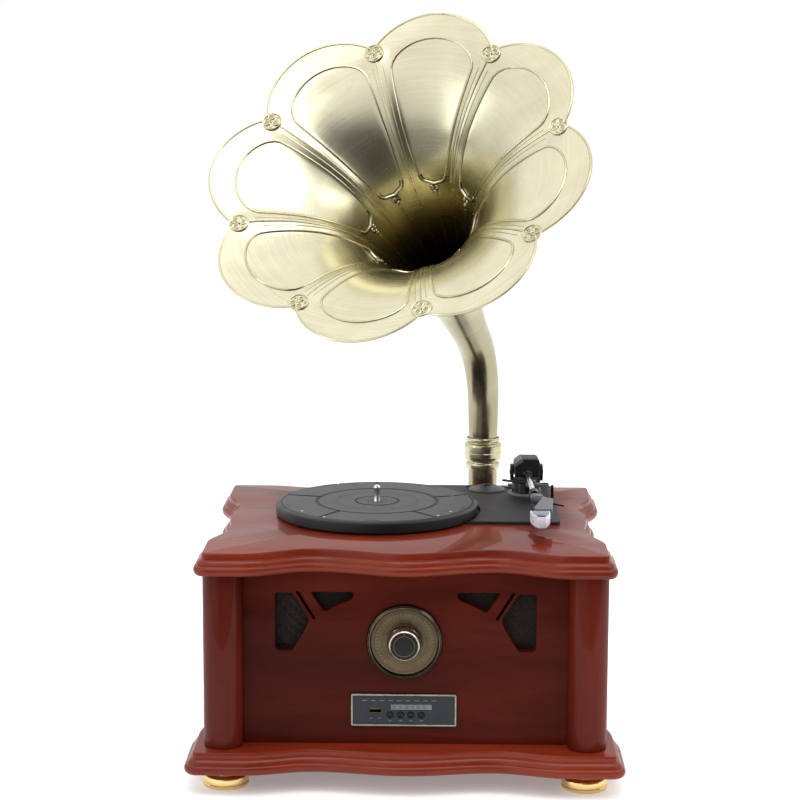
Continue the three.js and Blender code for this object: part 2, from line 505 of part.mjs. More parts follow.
// ---------------------------------------------------------------- horn bracket and post
const horn = group(root, HORN.x, HORN.y, 0);
const HORN_POST = { radius: 15.35, bore: 13.8, bottom: 78, top: 258 };
const reach = HORN.y - faceY;
const backPlate = box(-24, 24, -reach + CLEARANCE, -reach + 6, 66, 192);
const lowerArm = join(box(-20, 20, -reach + 2, 0, 70, 96), rod(20, 70, 96, 0, 0, 40));
const upperArm = join(box(-20, 20, -reach + 2, 0, 172, 188), rod(20, 172, 188, 0, 0, 40));
const postBore = rod(HORN_POST.radius + CLEARANCE, HORN_POST.bottom - CLEARANCE, 200, 0, 0, 40);
place(horn, 'horn_bracket', cut(join(backPlate, lowerArm, upperArm), postBore), wood);
place(horn, 'horn_post', turned([[0, HORN_POST.bottom], [HORN_POST.radius, HORN_POST.bottom],
  [HORN_POST.radius, HORN_POST.top], [HORN_POST.bore, HORN_POST.top], [HORN_POST.bore, HORN_POST.bottom + 6],
  [0, HORN_POST.bottom + 6]], 36), antiqueBrass);

// ---------------------------------------------------------------- horn
const collarBore = HORN_POST.radius + 0.4;
place(horn, 'horn_collar', turnedRing([[collarBore, 244], [17.9, 244], [17.9, 250.5], [16.4, 252],
  [19.8, 254], [19.8, 270.7], [16.4, 272], [17.9, 273.4], [17.9, 277], [collarBore, 277]], 28), antiqueBrass);

// The horn's axis leans back from the mouth down to a corner on the post's axis.
const outward = new THREE.Vector3(-Math.sin(rad(HORN_AXIS.turn)) * Math.cos(rad(HORN_AXIS.rise)),
  -Math.cos(rad(HORN_AXIS.turn)) * Math.cos(rad(HORN_AXIS.rise)), Math.sin(rad(HORN_AXIS.rise)));
const across = new THREE.Vector3(Math.cos(rad(HORN_AXIS.turn)), -Math.sin(rad(HORN_AXIS.turn)), 0);
const corner = new THREE.Vector3(0, 0, HORN_AXIS.cornerHeight);
const mouth = corner.clone().addScaledVector(outward, HORN_AXIS.mouthDistance);

// The elbow's centre line: up the post, round the bend and up to the horn's neck.
const BEND = { radius: 62, start: HORN_POST.top + CLEARANCE };
const bendAngle = Math.PI / 2 - rad(HORN_AXIS.rise);
const tangent = BEND.radius * Math.tan(bendAngle / 2);
const lean = new THREE.Vector3(outward.x, outward.y, 0).normalize();

function elbowStations() {
  const stations = [];
  const add = (centre, angle, radius) => stations.push({ centre, angle, radius });
  const bendStart = HORN_AXIS.cornerHeight - tangent;
  add(new THREE.Vector3(0, 0, BEND.start), 0, HORN_POST.radius);
  add(new THREE.Vector3(0, 0, 278), 0, HORN_POST.radius);
  for (let i = 0; i <= 7; i += 1) {
    const angle = (bendAngle * i) / 7;
    const centre = new THREE.Vector3(0, 0, bendStart + BEND.radius * Math.sin(angle))
      .addScaledVector(lean, BEND.radius * (1 - Math.cos(angle)));
    add(centre, angle, 16.2 + (2.6 * i) / 7);
  }
  const straight = HORN_AXIS.mouthDistance - HORN_FLARE.neck - CLEARANCE - tangent;
  const end = corner.clone().addScaledVector(outward, tangent + straight);
  add(end, bendAngle, 20.7);
  return stations;
}

// Rings of points square to the centre line, counter-clockwise as seen from its far end.
function ringAt({ centre, angle, radius }, wall, sides) {
  const front = lean.clone().multiplyScalar(Math.cos(angle)).add(new THREE.Vector3(0, 0, -Math.sin(angle)));
  const side = new THREE.Vector3(-lean.y, lean.x, 0);
  return Array.from({ length: sides }, (_, i) => {
    const turnBy = (2 * Math.PI * i) / sides;
    return centre.clone().addScaledVector(front, (radius - wall) * Math.cos(turnBy))
      .addScaledVector(side, (radius - wall) * Math.sin(turnBy));
  });
}

const stations = elbowStations();
const outerRings = stations.map((station) => ringAt(station, 0, 24));
const innerRings = stations.map((station) => ringAt(station, 1.8, 24)).reverse();
place(horn, 'horn_elbow', skin([...outerRings, ...innerRings], true), antiqueBrass);

// The bell flares from its neck to eight rounded petals. Depth is measured back from the mouth plane.
const flareDepth = (radius) => HORN_FLARE.depth * ((HORN.mouthRadius / radius) ** HORN_FLARE.power - 1);
const flareRadius = (depth) => HORN.mouthRadius * (depth / HORN_FLARE.depth + 1) ** (-1 / HORN_FLARE.power);
const petalHalf = Math.PI / HORN.petals;

// A petal's edge is an arc through its tip and the notches on both sides.
const notchHalf = HORN.mouthRadius * Math.sin(petalHalf);
const petalRise = HORN.tipRadius - HORN.mouthRadius * Math.cos(petalHalf);
const petalArc = (notchHalf ** 2 + petalRise ** 2) / (2 * petalRise);
const petalCentre = HORN.tipRadius - petalArc;

function edgeRadius(angle) {
  const period = 2 * petalHalf;
  const offset = angle - Math.PI / 2;
  const local = offset - period * Math.round(offset / period);
  return petalCentre * Math.cos(local) + Math.sqrt(petalArc ** 2 - (petalCentre * Math.sin(local)) ** 2);
}

const PETAL_STEPS = 8;
const BELL_STATIONS = 9;

function bellRing(share, back) {
  const sides = HORN.petals * PETAL_STEPS;
  const neckRadius = flareRadius(HORN_FLARE.neck);
  return Array.from({ length: sides }, (_, i) => {
    const angle = Math.PI / 2 + (2 * Math.PI * i) / sides;
    const radius = neckRadius + (edgeRadius(angle) - neckRadius) * share ** 1.7;
    const depth = flareDepth(radius);
    const slope = Math.atan2(flareDepth(radius) - flareDepth(radius + 0.5), 0.5);
    const r = radius + back * Math.sin(slope);
    const d = depth + back * Math.cos(slope);
    return new THREE.Vector3(r * Math.cos(angle), r * Math.sin(angle), -d);
  });
}

const shares = Array.from({ length: BELL_STATIONS + 1 }, (_, i) => i / BELL_STATIONS);
const insideRings = shares.map((share) => bellRing(share, 0)).reverse();
const outsideRings = shares.map((share) => bellRing(share, HORN.wall));
const bell = place(horn, 'horn_bell', skin([...outsideRings, ...insideRings], true), antiqueBrass);
const upward = outward.clone().cross(across);
bell.setRotationFromMatrix(new THREE.Matrix4().makeBasis(across, upward, outward));
bell.position.copy(mouth);

export default root;
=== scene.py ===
from math import atan2, cos, pi, radians as rad, sin, sqrt, tan

import bmesh
import bpy
from mathutils import Matrix, Vector


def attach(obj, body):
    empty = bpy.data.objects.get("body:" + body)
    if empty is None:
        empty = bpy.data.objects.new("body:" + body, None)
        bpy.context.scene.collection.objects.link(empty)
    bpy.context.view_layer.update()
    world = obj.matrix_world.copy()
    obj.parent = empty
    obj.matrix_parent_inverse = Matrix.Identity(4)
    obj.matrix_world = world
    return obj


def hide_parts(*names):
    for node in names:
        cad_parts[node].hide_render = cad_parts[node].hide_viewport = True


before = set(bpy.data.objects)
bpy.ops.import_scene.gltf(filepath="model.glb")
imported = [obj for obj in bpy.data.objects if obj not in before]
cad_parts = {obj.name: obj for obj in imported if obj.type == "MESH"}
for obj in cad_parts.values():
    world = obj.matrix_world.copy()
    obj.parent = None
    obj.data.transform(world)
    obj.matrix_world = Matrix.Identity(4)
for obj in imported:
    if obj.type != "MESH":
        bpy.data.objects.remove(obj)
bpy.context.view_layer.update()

# Sizes are in millimetres and are scaled to metres as each mesh is made. Z is up and the front faces -Y.
MM = 0.001


# ---- camera
def towards(azimuth, elevation):
    """The unit vector to a direction in degrees, with azimuth from the front (-Y) round to the right (+X)."""
    a, e = rad(azimuth), rad(elevation)
    return Vector((sin(a) * cos(e), -cos(a) * cos(e), sin(e)))


def aim_camera(azimuth, elevation, roll, distance, target, lens):
    back = towards(azimuth, elevation)
    right = Vector((0, 0, 1)).cross(back).normalized()
    upright_turn = Matrix((right, back.cross(right), back)).transposed().to_4x4()
    camera = bpy.data.objects.new("camera", bpy.data.cameras.new("camera"))
    bpy.context.scene.collection.objects.link(camera)
    camera.matrix_world = (Matrix.Translation(Vector(target) + back * distance) @ upright_turn
                           @ Matrix.Rotation(rad(roll), 4, "Z"))
    camera.data.lens = lens
    camera.data.sensor_width = 36
    camera.data.clip_start, camera.data.clip_end = 0.1, 60
    bpy.context.scene.camera = camera


aim_camera(1.11, 9.19, roll=0.19, distance=2.0396, target=(-0.00836, 0, 0.34387), lens=94.05)
bpy.context.scene.view_settings.view_transform = "Standard"


# ---- materials
class Graph:
    """Shader nodes under construction, of a material or of the world."""

    def __init__(self, tree):
        self.tree, self.nodes = tree, tree.nodes
        self.place = self.nodes.new("ShaderNodeTexCoord").outputs

    def feed(self, target, value):
        """Joins another node's output to the target, or sets it to a colour (a tuple) or another value."""
        if isinstance(value, bpy.types.NodeSocket):
            self.tree.links.new(value, target)
        else:
            target.default_value = (*value, 1) if isinstance(value, tuple) else value

    def add(self, kind, settings=None, **inputs):
        node = self.nodes.new("ShaderNode" + kind)
        for name, value in (settings or {}).items():
            setattr(node, name, value)
        for name, value in inputs.items():
            self.feed(node.inputs[name.replace("_", " ")], value)
        return node

    def noise(self, size, stretch=(1, 1, 1), detail=4.0, rough=0.55, distortion=0.0, coordinates="Object"):
        """Noise with features of about size metres, drawn out by stretch."""
        mapping = self.add("Mapping", Vector=self.place[coordinates], Scale=[1 / s for s in stretch])
        return self.add("TexNoise", Vector=mapping.outputs["Vector"], Scale=1 / size, Detail=detail,
                        Roughness=rough, Distortion=distortion).outputs["Fac"]

    def ramp(self, value, stops):
        ramp = self.add("ValToRGB", Fac=value)
        elements = ramp.color_ramp.elements
        while len(elements) < len(stops):
            elements.new(0.5)
        for element, (position, colour) in zip(elements, stops):
            element.position = position
            element.color = (*colour, 1)
        return ramp.outputs["Color"]

    def blend(self, share, first, second, mode="MIX"):
        settings = {"data_type": "RGBA", "blend_type": mode}
        return self.add("Mix", settings, Factor=share, A=first, B=second).outputs["Result"]

    def span(self, value, low, high, start=0.3, end=0.7, shape="LINEAR"):
        """The value's part from start to end, drawn out to low to high."""
        return self.add("MapRange", {"interpolation_type": shape}, Value=value, From_Min=start, From_Max=end,
                        To_Min=low, To_Max=high).outputs["Result"]


class Look(Graph):
    """A node material under construction."""

    def __init__(self, name):
        self.material = bpy.data.materials.new(name)
        self.material.use_nodes = True
        super().__init__(self.material.node_tree)
        self.shader = self.nodes["Principled BSDF"]

    def bump(self, *layers):
        """Relief from (value, strength, depth in metres) layers."""
        below = {}
        for value, strength, depth in layers:
            bump = self.add("Bump", Height=value, Strength=strength, Distance=depth, **below)
            below = {"Normal": bump.outputs["Normal"]}
        self.set(**below)

    def set(self, **values):
        for name, value in values.items():
            self.feed(self.shader.inputs[name.replace("_", " ")], value)
        return self.material


def wood(name, stretch, tones, coat, shine):
    """Lacquered cherry with its grain drawn out along stretch, from dark, middle and light tones."""
    look = Look(name)
    figure = look.noise(0.05, stretch, 3.0, 0.5, 0.6)
    grain = look.noise(0.006, stretch, 6.0, 0.65, 0.3)
    pores = look.noise(0.0012, stretch, 2.0, 0.6)
    broad = look.ramp(figure, list(zip((0.28, 0.5, 0.74), tones)))
    fine = look.ramp(grain, [(0.3, (0.62, 0.55, 0.52)), (0.55, (1, 1, 1)), (0.8, (1.16, 1.1, 1.05))])
    flecks = look.ramp(pores, [(0.26, (0.45, 0.4, 0.4)), (0.36, (1, 1, 1))])
    colour = look.blend(0.5, look.blend(0.5, broad, fine, "MULTIPLY"), flecks, "MULTIPLY")
    look.bump((grain, 0.05, 0.0001), (pores, 0.04, 0.0001))
    return look.set(Base_Color=colour, Roughness=look.span(grain, 0.44, 0.6), Coat_Weight=coat,
                    Coat_Roughness=0.05, Specular_IOR_Level=shine)


def metal(name, tones, roughness, stretch=(1, 1, 1), brush=0.0009, scuff=0.02, relief=0.1,
          coordinates="Object", anisotropy=0.0, painted_shade=()):
    """Brushed or polished metal, with cloudy tone and fine lines drawn out along stretch.
    The last argument is stops of tone along V: painted shade that darkens the metal down its length."""
    look = Look(name)
    cloud = look.noise(scuff, (1, 1, 1), 4.0, 0.6, 0.4)
    lines = look.noise(brush, stretch, 3.0, 0.7, 0.0, coordinates)
    colour = look.ramp(cloud, list(zip((0.25, 0.55, 0.85), tones)))
    toned = look.ramp(lines, [(0.3, (0.86, 0.86, 0.85)), (0.7, (1.08, 1.08, 1.08))])
    colour = look.blend(0.5, colour, toned, "MULTIPLY")
    # Painted shade: the tone stops along V darken the colour.
    if painted_shade:
        along = look.blend(0.03, look.add("SeparateXYZ", Vector=look.place["UV"]).outputs["Y"], cloud)
        colour = look.blend(1.0, colour, look.ramp(along, painted_shade), "MULTIPLY")
    rough = look.blend(0.5, look.span(cloud, *roughness), look.span(lines, *roughness))
    look.bump((lines, relief, 0.00008))
    return look.set(Base_Color=colour, Metallic=1.0, Roughness=rough, Anisotropic=anisotropy)


def plastic(name, tones, roughness, grain=0.0006, relief=0.15, **more):
    """Moulded plastic with a fine grain and a slight unevenness of tone."""
    look = Look(name)
    cloud = look.noise(0.02, (1, 1, 1), 3.0, 0.6)
    fine = look.noise(grain, (1, 1, 1), 3.0, 0.6)
    speckle = look.ramp(fine, [(0.3, (0.8, 0.8, 0.8)), (0.7, (1.15, 1.15, 1.15))])
    colour = look.blend(0.35, look.ramp(cloud, list(zip((0.3, 0.7), tones))), speckle, "MULTIPLY")
    look.bump((fine, relief, 0.0001))
    return look.set(Base_Color=colour, Roughness=look.span(cloud, *roughness), **more)


CHERRY = ((0.108, 0.0095, 0.0028), (0.162, 0.0155, 0.004), (0.225, 0.027, 0.0065))
PANEL_CHERRY = ((0.042, 0.0048, 0.0024), (0.064, 0.0068, 0.0032), (0.094, 0.0115, 0.005))
POST_CHERRY = ((0.07, 0.0065, 0.0028), (0.1, 0.0095, 0.004), (0.14, 0.0155, 0.006))
cherry_x = wood("cherry_along_x", (9, 1, 1), CHERRY, coat=0.42, shine=0.08)
cherry_y = wood("cherry_along_y", (1, 9, 1), POST_CHERRY, coat=0.15, shine=0.08)
cherry_z = wood("cherry_along_z", (1, 1, 9), POST_CHERRY, coat=0.16, shine=0.08)
cherry_panel = wood("cherry_panel", (7, 1, 1), PANEL_CHERRY, coat=0.04, shine=0.06)
antique_brass = metal("antique_brass", ((0.47, 0.43, 0.27), (0.56, 0.52, 0.35), (0.64, 0.6, 0.43)), (0.2, 0.3),
                      (1, 1, 14), scuff=0.05, relief=0.06)
# Painted shade for the bell: darker from the mouth down into the throat, and outside towards the neck.
BELL_PAINTED_SHADE = [(0.02, (0.6, 0.585, 0.54)), (0.05, (1, 1, 1)), (0.3, (1, 1, 1)), (0.46, (0.9, 0.87, 0.74)),
               (0.7, (0.62, 0.57, 0.42)), (1.0, (0.28, 0.25, 0.17))]
bell_brass = metal("bell_brass", ((0.52, 0.485, 0.34), (0.6, 0.565, 0.41), (0.67, 0.635, 0.475)), (0.2, 0.3),
                   (40, 1, 1), 0.004, 0.06, 0.05, "UV", 0.35, BELL_PAINTED_SHADE)
aged_brass = metal("aged_brass", ((0.3, 0.275, 0.18), (0.36, 0.33, 0.22), (0.43, 0.4, 0.275)), (0.2, 0.3),
                   (1, 1, 14), scuff=0.05, relief=0.06)
# Painted shadow: dark metal for the strips under the bell's bracket curls.
painted_curl_shadow = metal("painted_curl_shadow", ((0.07, 0.06, 0.035), (0.11, 0.095, 0.058), (0.16, 0.14, 0.09)), (0.34, 0.46))
polished_brass = metal("polished_brass", ((0.74, 0.53, 0.2), (0.83, 0.62, 0.27), (0.9, 0.7, 0.36)), (0.1, 0.2),
                       relief=0.05)
bronze = metal("bronze", ((0.11, 0.08, 0.045), (0.15, 0.112, 0.068), (0.2, 0.155, 0.1)), (0.36, 0.5),
               brush=0.0006, scuff=0.015)
dark_metal = metal("dark_metal", ((0.05, 0.045, 0.03), (0.085, 0.075, 0.052), (0.13, 0.115, 0.085)),
                   (0.14, 0.26), brush=0.0006, scuff=0.012, relief=0.06)
knob_chrome = metal("knob_chrome", ((0.48, 0.45, 0.37), (0.6, 0.57, 0.48), (0.7, 0.67, 0.57)), (0.08, 0.18),
                    brush=0.0005, scuff=0.01, relief=0.05)
bright_steel = metal("bright_steel", ((0.56, 0.57, 0.57), (0.68, 0.69, 0.69), (0.78, 0.79, 0.78)), (0.16, 0.28),
                     (1, 12, 1), brush=0.0005, scuff=0.01, relief=0.06)
frame_metal = metal("frame_metal", ((0.17, 0.18, 0.14), (0.27, 0.28, 0.22), (0.38, 0.39, 0.32)), (0.22, 0.34),
                    (8, 1, 1), brush=0.0006, scuff=0.015, relief=0.08)
black_plastic = plastic("black_plastic", ((0.008, 0.008, 0.009), (0.014, 0.014, 0.0155)), (0.36, 0.48),
                        Specular_IOR_Level=0.3)
deck_plastic = plastic("deck_plastic", ((0.019, 0.0185, 0.02), (0.028, 0.027, 0.0295)), (0.5, 0.62),
                       Specular_IOR_Level=0.25)
platter_plastic = plastic("platter_plastic", ((0.056, 0.055, 0.061), (0.074, 0.073, 0.081)), (0.44, 0.56),
                          Specular_IOR_Level=0.3)
gloss_black = plastic("gloss_black", ((0.006, 0.006, 0.007), (0.011, 0.011, 0.012)), (0.16, 0.26), relief=0.05,
                      Specular_IOR_Level=0.22)
grey_plastic = plastic("grey_plastic", ((0.1, 0.1, 0.11), (0.14, 0.14, 0.155)), (0.4, 0.52))
adapter_plastic = plastic("adapter_plastic", ((0.018, 0.018, 0.02), (0.028, 0.028, 0.031)), (0.3, 0.42))
display_print = plastic("display_print", ((0.13, 0.135, 0.125), (0.2, 0.205, 0.19)), (0.45, 0.55), 0.0005, 0.05)
white_plastic = plastic("white_plastic", ((0.78, 0.79, 0.9), (0.88, 0.88, 0.95)), (0.24, 0.36), relief=0.05,
                        Subsurface_Weight=0.15, Subsurface_Scale=0.004, Transmission_Weight=0.15)
slate_panel = plastic("slate_panel", ((0.014, 0.018, 0.022), (0.025, 0.03, 0.036)), (0.3, 0.4), 0.0005, 0.08,
                      Specular_IOR_Level=0.3)
display_window = plastic("display_window", ((0.085, 0.1, 0.115), (0.13, 0.15, 0.165)), (0.12, 0.2), 0.0008,
                         0.03, Coat_Weight=0.6, Coat_Roughness=0.05)
mark_paint = plastic("mark_paint", ((0.42, 0.4, 0.32), (0.55, 0.53, 0.44)), (0.45, 0.55), 0.0005, 0.05)
speaker_wire = plastic("speaker_wire", ((0.02, 0.015, 0.012), (0.04, 0.03, 0.024)), (0.35, 0.5),
                       Specular_IOR_Level=0.2)
speaker_cloth = plastic("speaker_cloth", ((0.003, 0.0022, 0.002), (0.006, 0.005, 0.0045)), (0.75, 0.9), 0.0009,
                        0.4, Specular_IOR_Level=0.1)
belt_rubber = plastic("belt_rubber", ((0.01, 0.01, 0.01), (0.018, 0.018, 0.018)), (0.7, 0.85), 0.0004, 0.3)
circuit_board = plastic("circuit_board", ((0.012, 0.07, 0.03), (0.03, 0.12, 0.05)), (0.4, 0.55), 0.002, 0.1)


# ---- shapes
# A shape is (points, faces). Points are Vectors in millimetres.
def moved(shape, matrix):
    return [matrix @ point for point in shape[0]], shape[1]


def at(x, y, z):
    return Matrix.Translation((x, y, z))


def spin(degrees, axis):
    return Matrix.Rotation(rad(degrees), 4, axis)


def polar(radius, degrees, z=0.0):
    return Vector((radius * cos(rad(degrees)), radius * sin(rad(degrees)), z))


def arc(radius, start=0.0, end=360.0, steps=24):
    """Points about Z, all round or from start to end in degrees."""
    count = steps if end - start == 360 else steps + 1
    return [polar(radius, start + (end - start) * k / steps) for k in range(count)]


def circle(x, y, radius, steps=24, start=0.0, end=360.0):
    return [(x + p.x, y + p.y) for p in arc(radius, start, end, steps)]


def curved_slot(outer, inner, start, end, steps):
    """The outline of a slot that runs about the origin from start to end in degrees."""
    return circle(0, 0, outer, steps, start, end) + circle(0, 0, inner, steps, end, start)


def fillet(points, radius, steps=3):
    """The outline with each corner rounded."""
    result = []
    for i, point in enumerate(points):
        p = Vector(point)
        a, b = Vector(points[i - 1]) - p, Vector(points[(i + 1) % len(points)]) - p
        reach = min(radius, 0.45 * a.length, 0.45 * b.length)
        if reach < 1e-4 or a.normalized().dot(b.normalized()) < -0.985:
            result.append(tuple(p))
            continue
        start, end = p + a.normalized() * reach, p + b.normalized() * reach
        for k in range(steps + 1):
            t = k / steps
            result.append(tuple(start * (1 - t) ** 2 + p * 2 * t * (1 - t) + end * t ** 2))
    return result


def grid(rows, looped=False):
    """A skin round rows of equal point count, with its ends capped or, if looped, joined."""
    count = len(rows[0])
    points = [point for row in rows for point in row]
    faces = []
    for band in range(len(rows) if looped else len(rows) - 1):
        low, high = band * count, (band + 1) % len(rows) * count
        for i in range(count):
            j = (i + 1) % count
            faces.append((low + i, low + j, high + j, high + i))
    if not looped:
        faces += [tuple(reversed(range(count))), tuple(range(len(points) - count, len(points)))]
    return points, faces


def turned(profile, sides=72, ring=False):
    """A turned piece about Z from (radius, height) points. A third number is the depth of its knurling."""
    points, faces, rows = [], [], []
    for radius, height, *knurl in profile:
        start = len(points)
        if radius < 1e-6:
            points.append(Vector((0, 0, height)))
        else:
            points += [polar(radius - (knurl[0] * (i % 2) if knurl else 0), 360 * i / sides, height)
                       for i in range(sides)]
        rows.append(list(range(start, len(points))))
    for low, high in list(zip(rows, rows[1:])) + ([(rows[-1], rows[0])] if ring else []):
        for i in range(sides):
            j = (i + 1) % sides
            face = (low[i % len(low)], low[j % len(low)], high[j % len(high)], high[i % len(high)])
            face = tuple(dict.fromkeys(face))
            if len(face) > 2:
                faces.append(face)
    return points, faces


def wire(path, radius, sides=8, closed=False):
    """A round wire along a path. The radius may be one number or one for each point."""
    count = len(path)
    radii = radius if isinstance(radius, list) else [radius] * count
    rows, side = [], None
    for i, p in enumerate(path):
        before = path[i - 1] if closed or i > 0 else p
        after = path[(i + 1) % count] if closed or i < count - 1 else p
        ahead = (after - before).normalized()
        if side is None:
            side = ahead.orthogonal().normalized()
        side = (side - ahead * side.dot(ahead)).normalized()
        other = ahead.cross(side)
        rows.append([p + side * c.x + other * c.y for c in arc(radii[i], steps=sides)])
    return grid(rows, closed)


def torus(matrix, ring_radius, wire_radius, steps=20, sides=8):
    """A round wire bent into a ring about Z."""
    return wire([matrix @ point for point in arc(ring_radius, steps=steps)], wire_radius, sides, True)


def plate(outline, bottom, top, edge=0.4, holes=()):
    """A flat plate in XY, with rounded edges and holes."""
    curve = bpy.data.curves.new("outline", "CURVE")
    curve.dimensions = "2D"
    curve.fill_mode = "BOTH"
    for points in (outline, *holes):
        spline = curve.splines.new("POLY")
        spline.points.add(len(points) - 1)
        for target, (x, y) in zip(spline.points, points):
            target.co = (x, y, 0, 1)
        spline.use_cyclic_u = True
    curve.extrude = (top - bottom) / 2 - edge
    curve.bevel_depth = edge
    curve.bevel_resolution = 2
    curve.offset = -edge
    holder = bpy.data.objects.new("outline", curve)
    mesh = holder.to_mesh()
    middle = Vector((0, 0, (top + bottom) / 2))
    shape = ([v.co + middle for v in mesh.vertices], [tuple(p.vertices) for p in mesh.polygons])
    holder.to_mesh_clear()
    bpy.data.objects.remove(holder)
    bpy.data.curves.remove(curve)
    return shape


UPRIGHT = spin(90, "X")  # turns XY plates to stand in XZ, with their height running towards -Y
SIDEWAYS = Matrix(((0, 0, 1, 0), (1, 0, 0, 0), (0, 1, 0, 0), (0, 0, 0, 1)))  # turns XY plates to stand in YZ
BACKWARD = spin(-90, "X")  # turns pieces that face +Z to face the back, with +Y turned down


def upright(outline, y_front, y_back, edge=0.4, holes=()):
    """A plate standing in XZ from y_front back to y_back."""
    return moved(plate(outline, -y_back, -y_front, edge, holes), UPRIGHT)


def rectangle(x0, x1, y0, y1, corner=0.0, steps=4):
    points = [(x0, y0), (x1, y0), (x1, y1), (x0, y1)]
    return fillet(points, corner, steps) if corner else points


def block(x0, x1, y0, y1, z0, z1, edge=0.4):
    return plate(rectangle(x0, x1, y0, y1, edge * 1.5, 2), z0, z1, edge)


def bead(x, z, width, height, front, back, edge=0.05):
    """A small upright mark centred on x and z."""
    return upright(rectangle(x - width / 2, x + width / 2, z - height / 2, z + height / 2), front, back, edge)


def build(name, shapes, look, replaces=(), body="cabinet", place=Matrix(), crease=32):
    """One smooth-shaded mesh from shapes moved to a place, riding on a body."""
    bm = bmesh.new()
    for points, faces in shapes:
        made = [bm.verts.new(place @ point * MM) for point in points]
        for face in faces:
            bm.faces.new([made[i] for i in face])
    bmesh.ops.recalc_face_normals(bm, faces=bm.faces)
    mesh = bpy.data.meshes.new(name)
    bm.to_mesh(mesh)
    bm.free()
    mesh.shade_smooth()
    mesh.set_sharp_from_angle(angle=rad(crease))
    mesh.materials.append(look)
    piece = bpy.data.objects.new(name, mesh)
    bpy.context.scene.collection.objects.link(piece)
    if replaces:
        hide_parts(*replaces)
    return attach(piece, body)


def screw_head(matrix, radius):
    """A domed screw that faces +Z."""
    dome = [(0, -0.2), (radius, -0.2), (radius, 0.3), (radius * 0.8, 0.8), (radius * 0.45, 1.05), (0, 1.1)]
    return moved(turned(dome, 20), matrix)


def screw_cross(matrix, radius):
    """The two dark bars of the cross in a screw_head."""
    bar = block(-radius * 0.5, radius * 0.5, -0.22, 0.22, 0.95, 1.16, 0.05)
    return [moved(bar, matrix), moved(bar, matrix @ spin(90, "Z"))]


# ---- moulded boards
BASE_TOP, BOARD_UNDER, BOARD_TOP, DECK_TOP = 40, 205.4, 226.4, 231.2  # heights above the floor
CORNER, HOLLOW_AT, FRONT_END, SIDE_HOLLOW_AT, SIDE_END, BACK_HOLLOW = 13, 84, 150, 50, 108, 13


def stand_back(distance, hollow_at, end, hollow, swell):
    """How far the wavy edge lies inside the straight one, at a distance from its middle."""
    d = abs(distance)
    if d >= end:
        return 0
    if d >= hollow_at:
        return hollow / 2 * (1 + cos(pi * (d - hollow_at) / (end - hollow_at)))
    return swell + (hollow - swell) / 2 * (1 - cos(pi * d / hollow_at))


def serpentine(width, depth, hollow, swell):
    """The plan outline, counter-clockwise, with each point's inward direction."""
    hw, hd = width / 2, depth / 2
    side_hollow = hollow * 0.7
    points = []

    def edge(steps, half, where):
        for i in range(steps + 1):
            points.append(Vector(where(-half + 2 * half * i / steps)))

    def turn(x, y, start):
        points.extend(Vector(p) for p in circle(x, y, CORNER, 7, start + 10, start + 80))

    def along(s):
        return stand_back(s, HOLLOW_AT, FRONT_END, hollow, swell)

    def beside(s):
        return stand_back(s, SIDE_HOLLOW_AT, SIDE_END, side_hollow, side_hollow * 0.75)

    def behind(s):
        return stand_back(s, HOLLOW_AT, FRONT_END, BACK_HOLLOW, swell)

    edge(88, hw - CORNER, lambda s: (s, -hd + along(s)))
    turn(hw - CORNER, -hd + CORNER, -90)
    edge(60, hd - CORNER, lambda s: (hw - beside(s), s))
    turn(hw - CORNER, hd - CORNER, 0)
    edge(88, hw - CORNER, lambda s: (-s, hd - behind(s)))
    turn(-hw + CORNER, hd - CORNER, 90)
    edge(60, hd - CORNER, lambda s: (-hw + beside(s), -s))
    turn(-hw + CORNER, -hd + CORNER, 180)
    inward = []
    for i in range(len(points)):
        way = points[(i + 1) % len(points)] - points[i - 1]
        inward.append(Vector((-way.y, way.x)).normalized())
    return points, inward


# The moulding's section, as margin from the edge and share of the height.
BEAD_AND_COVE = [(12, 0), (4, 0), (2.4, 0.02), (1.2, 0.07), (0.4, 0.14), (0, 0.23), (0.1, 0.31), (0.7, 0.38),
                 (1.8, 0.435), (2.9, 0.45), (3.1, 0.47), (3.3, 0.53), (4.1, 0.6), (5.4, 0.665), (6.8, 0.705),
                 (7.6, 0.715), (7.7, 0.74), (7.75, 0.88), (7.95, 0.94), (8.5, 0.985), (9.4, 1)]


def board_rows(width, depth, hollow, swell, bottom, top):
    points, inward = serpentine(width, depth, hollow, swell)
    return [[Vector((*(p + n * margin), bottom + share * (top - bottom))) for p, n in zip(points, inward)]
            for margin, share in BEAD_AND_COVE]


top_rows = board_rows(389, 330, 22, 4, BOARD_UNDER, BOARD_TOP)
WELL_MIDDLE, WELL_HALF = Vector((36, 56.5)), Vector((105, 77.5))  # its middle and half its size


def well_row(z):
    """The deck's opening, with a point for each point of the board's outline."""
    row = []
    for point in top_rows[0]:
        way = point.xy - WELL_MIDDLE
        reach = min(WELL_HALF.x / max(abs(way.x), 1e-6), WELL_HALF.y / max(abs(way.y), 1e-6))
        row.append(Vector((*(WELL_MIDDLE + way * reach), z)))
    return row


build("top_board", [grid([*top_rows, well_row(BOARD_TOP), well_row(BOARD_UNDER)], True)], cherry_x,
      ["top_plate"], crease=40)
base_rows = board_rows(408, 349, 13, 3, 19.8, BASE_TOP)
build("base_board", [grid(base_rows)], cherry_x, ["base_moulding"], crease=40)

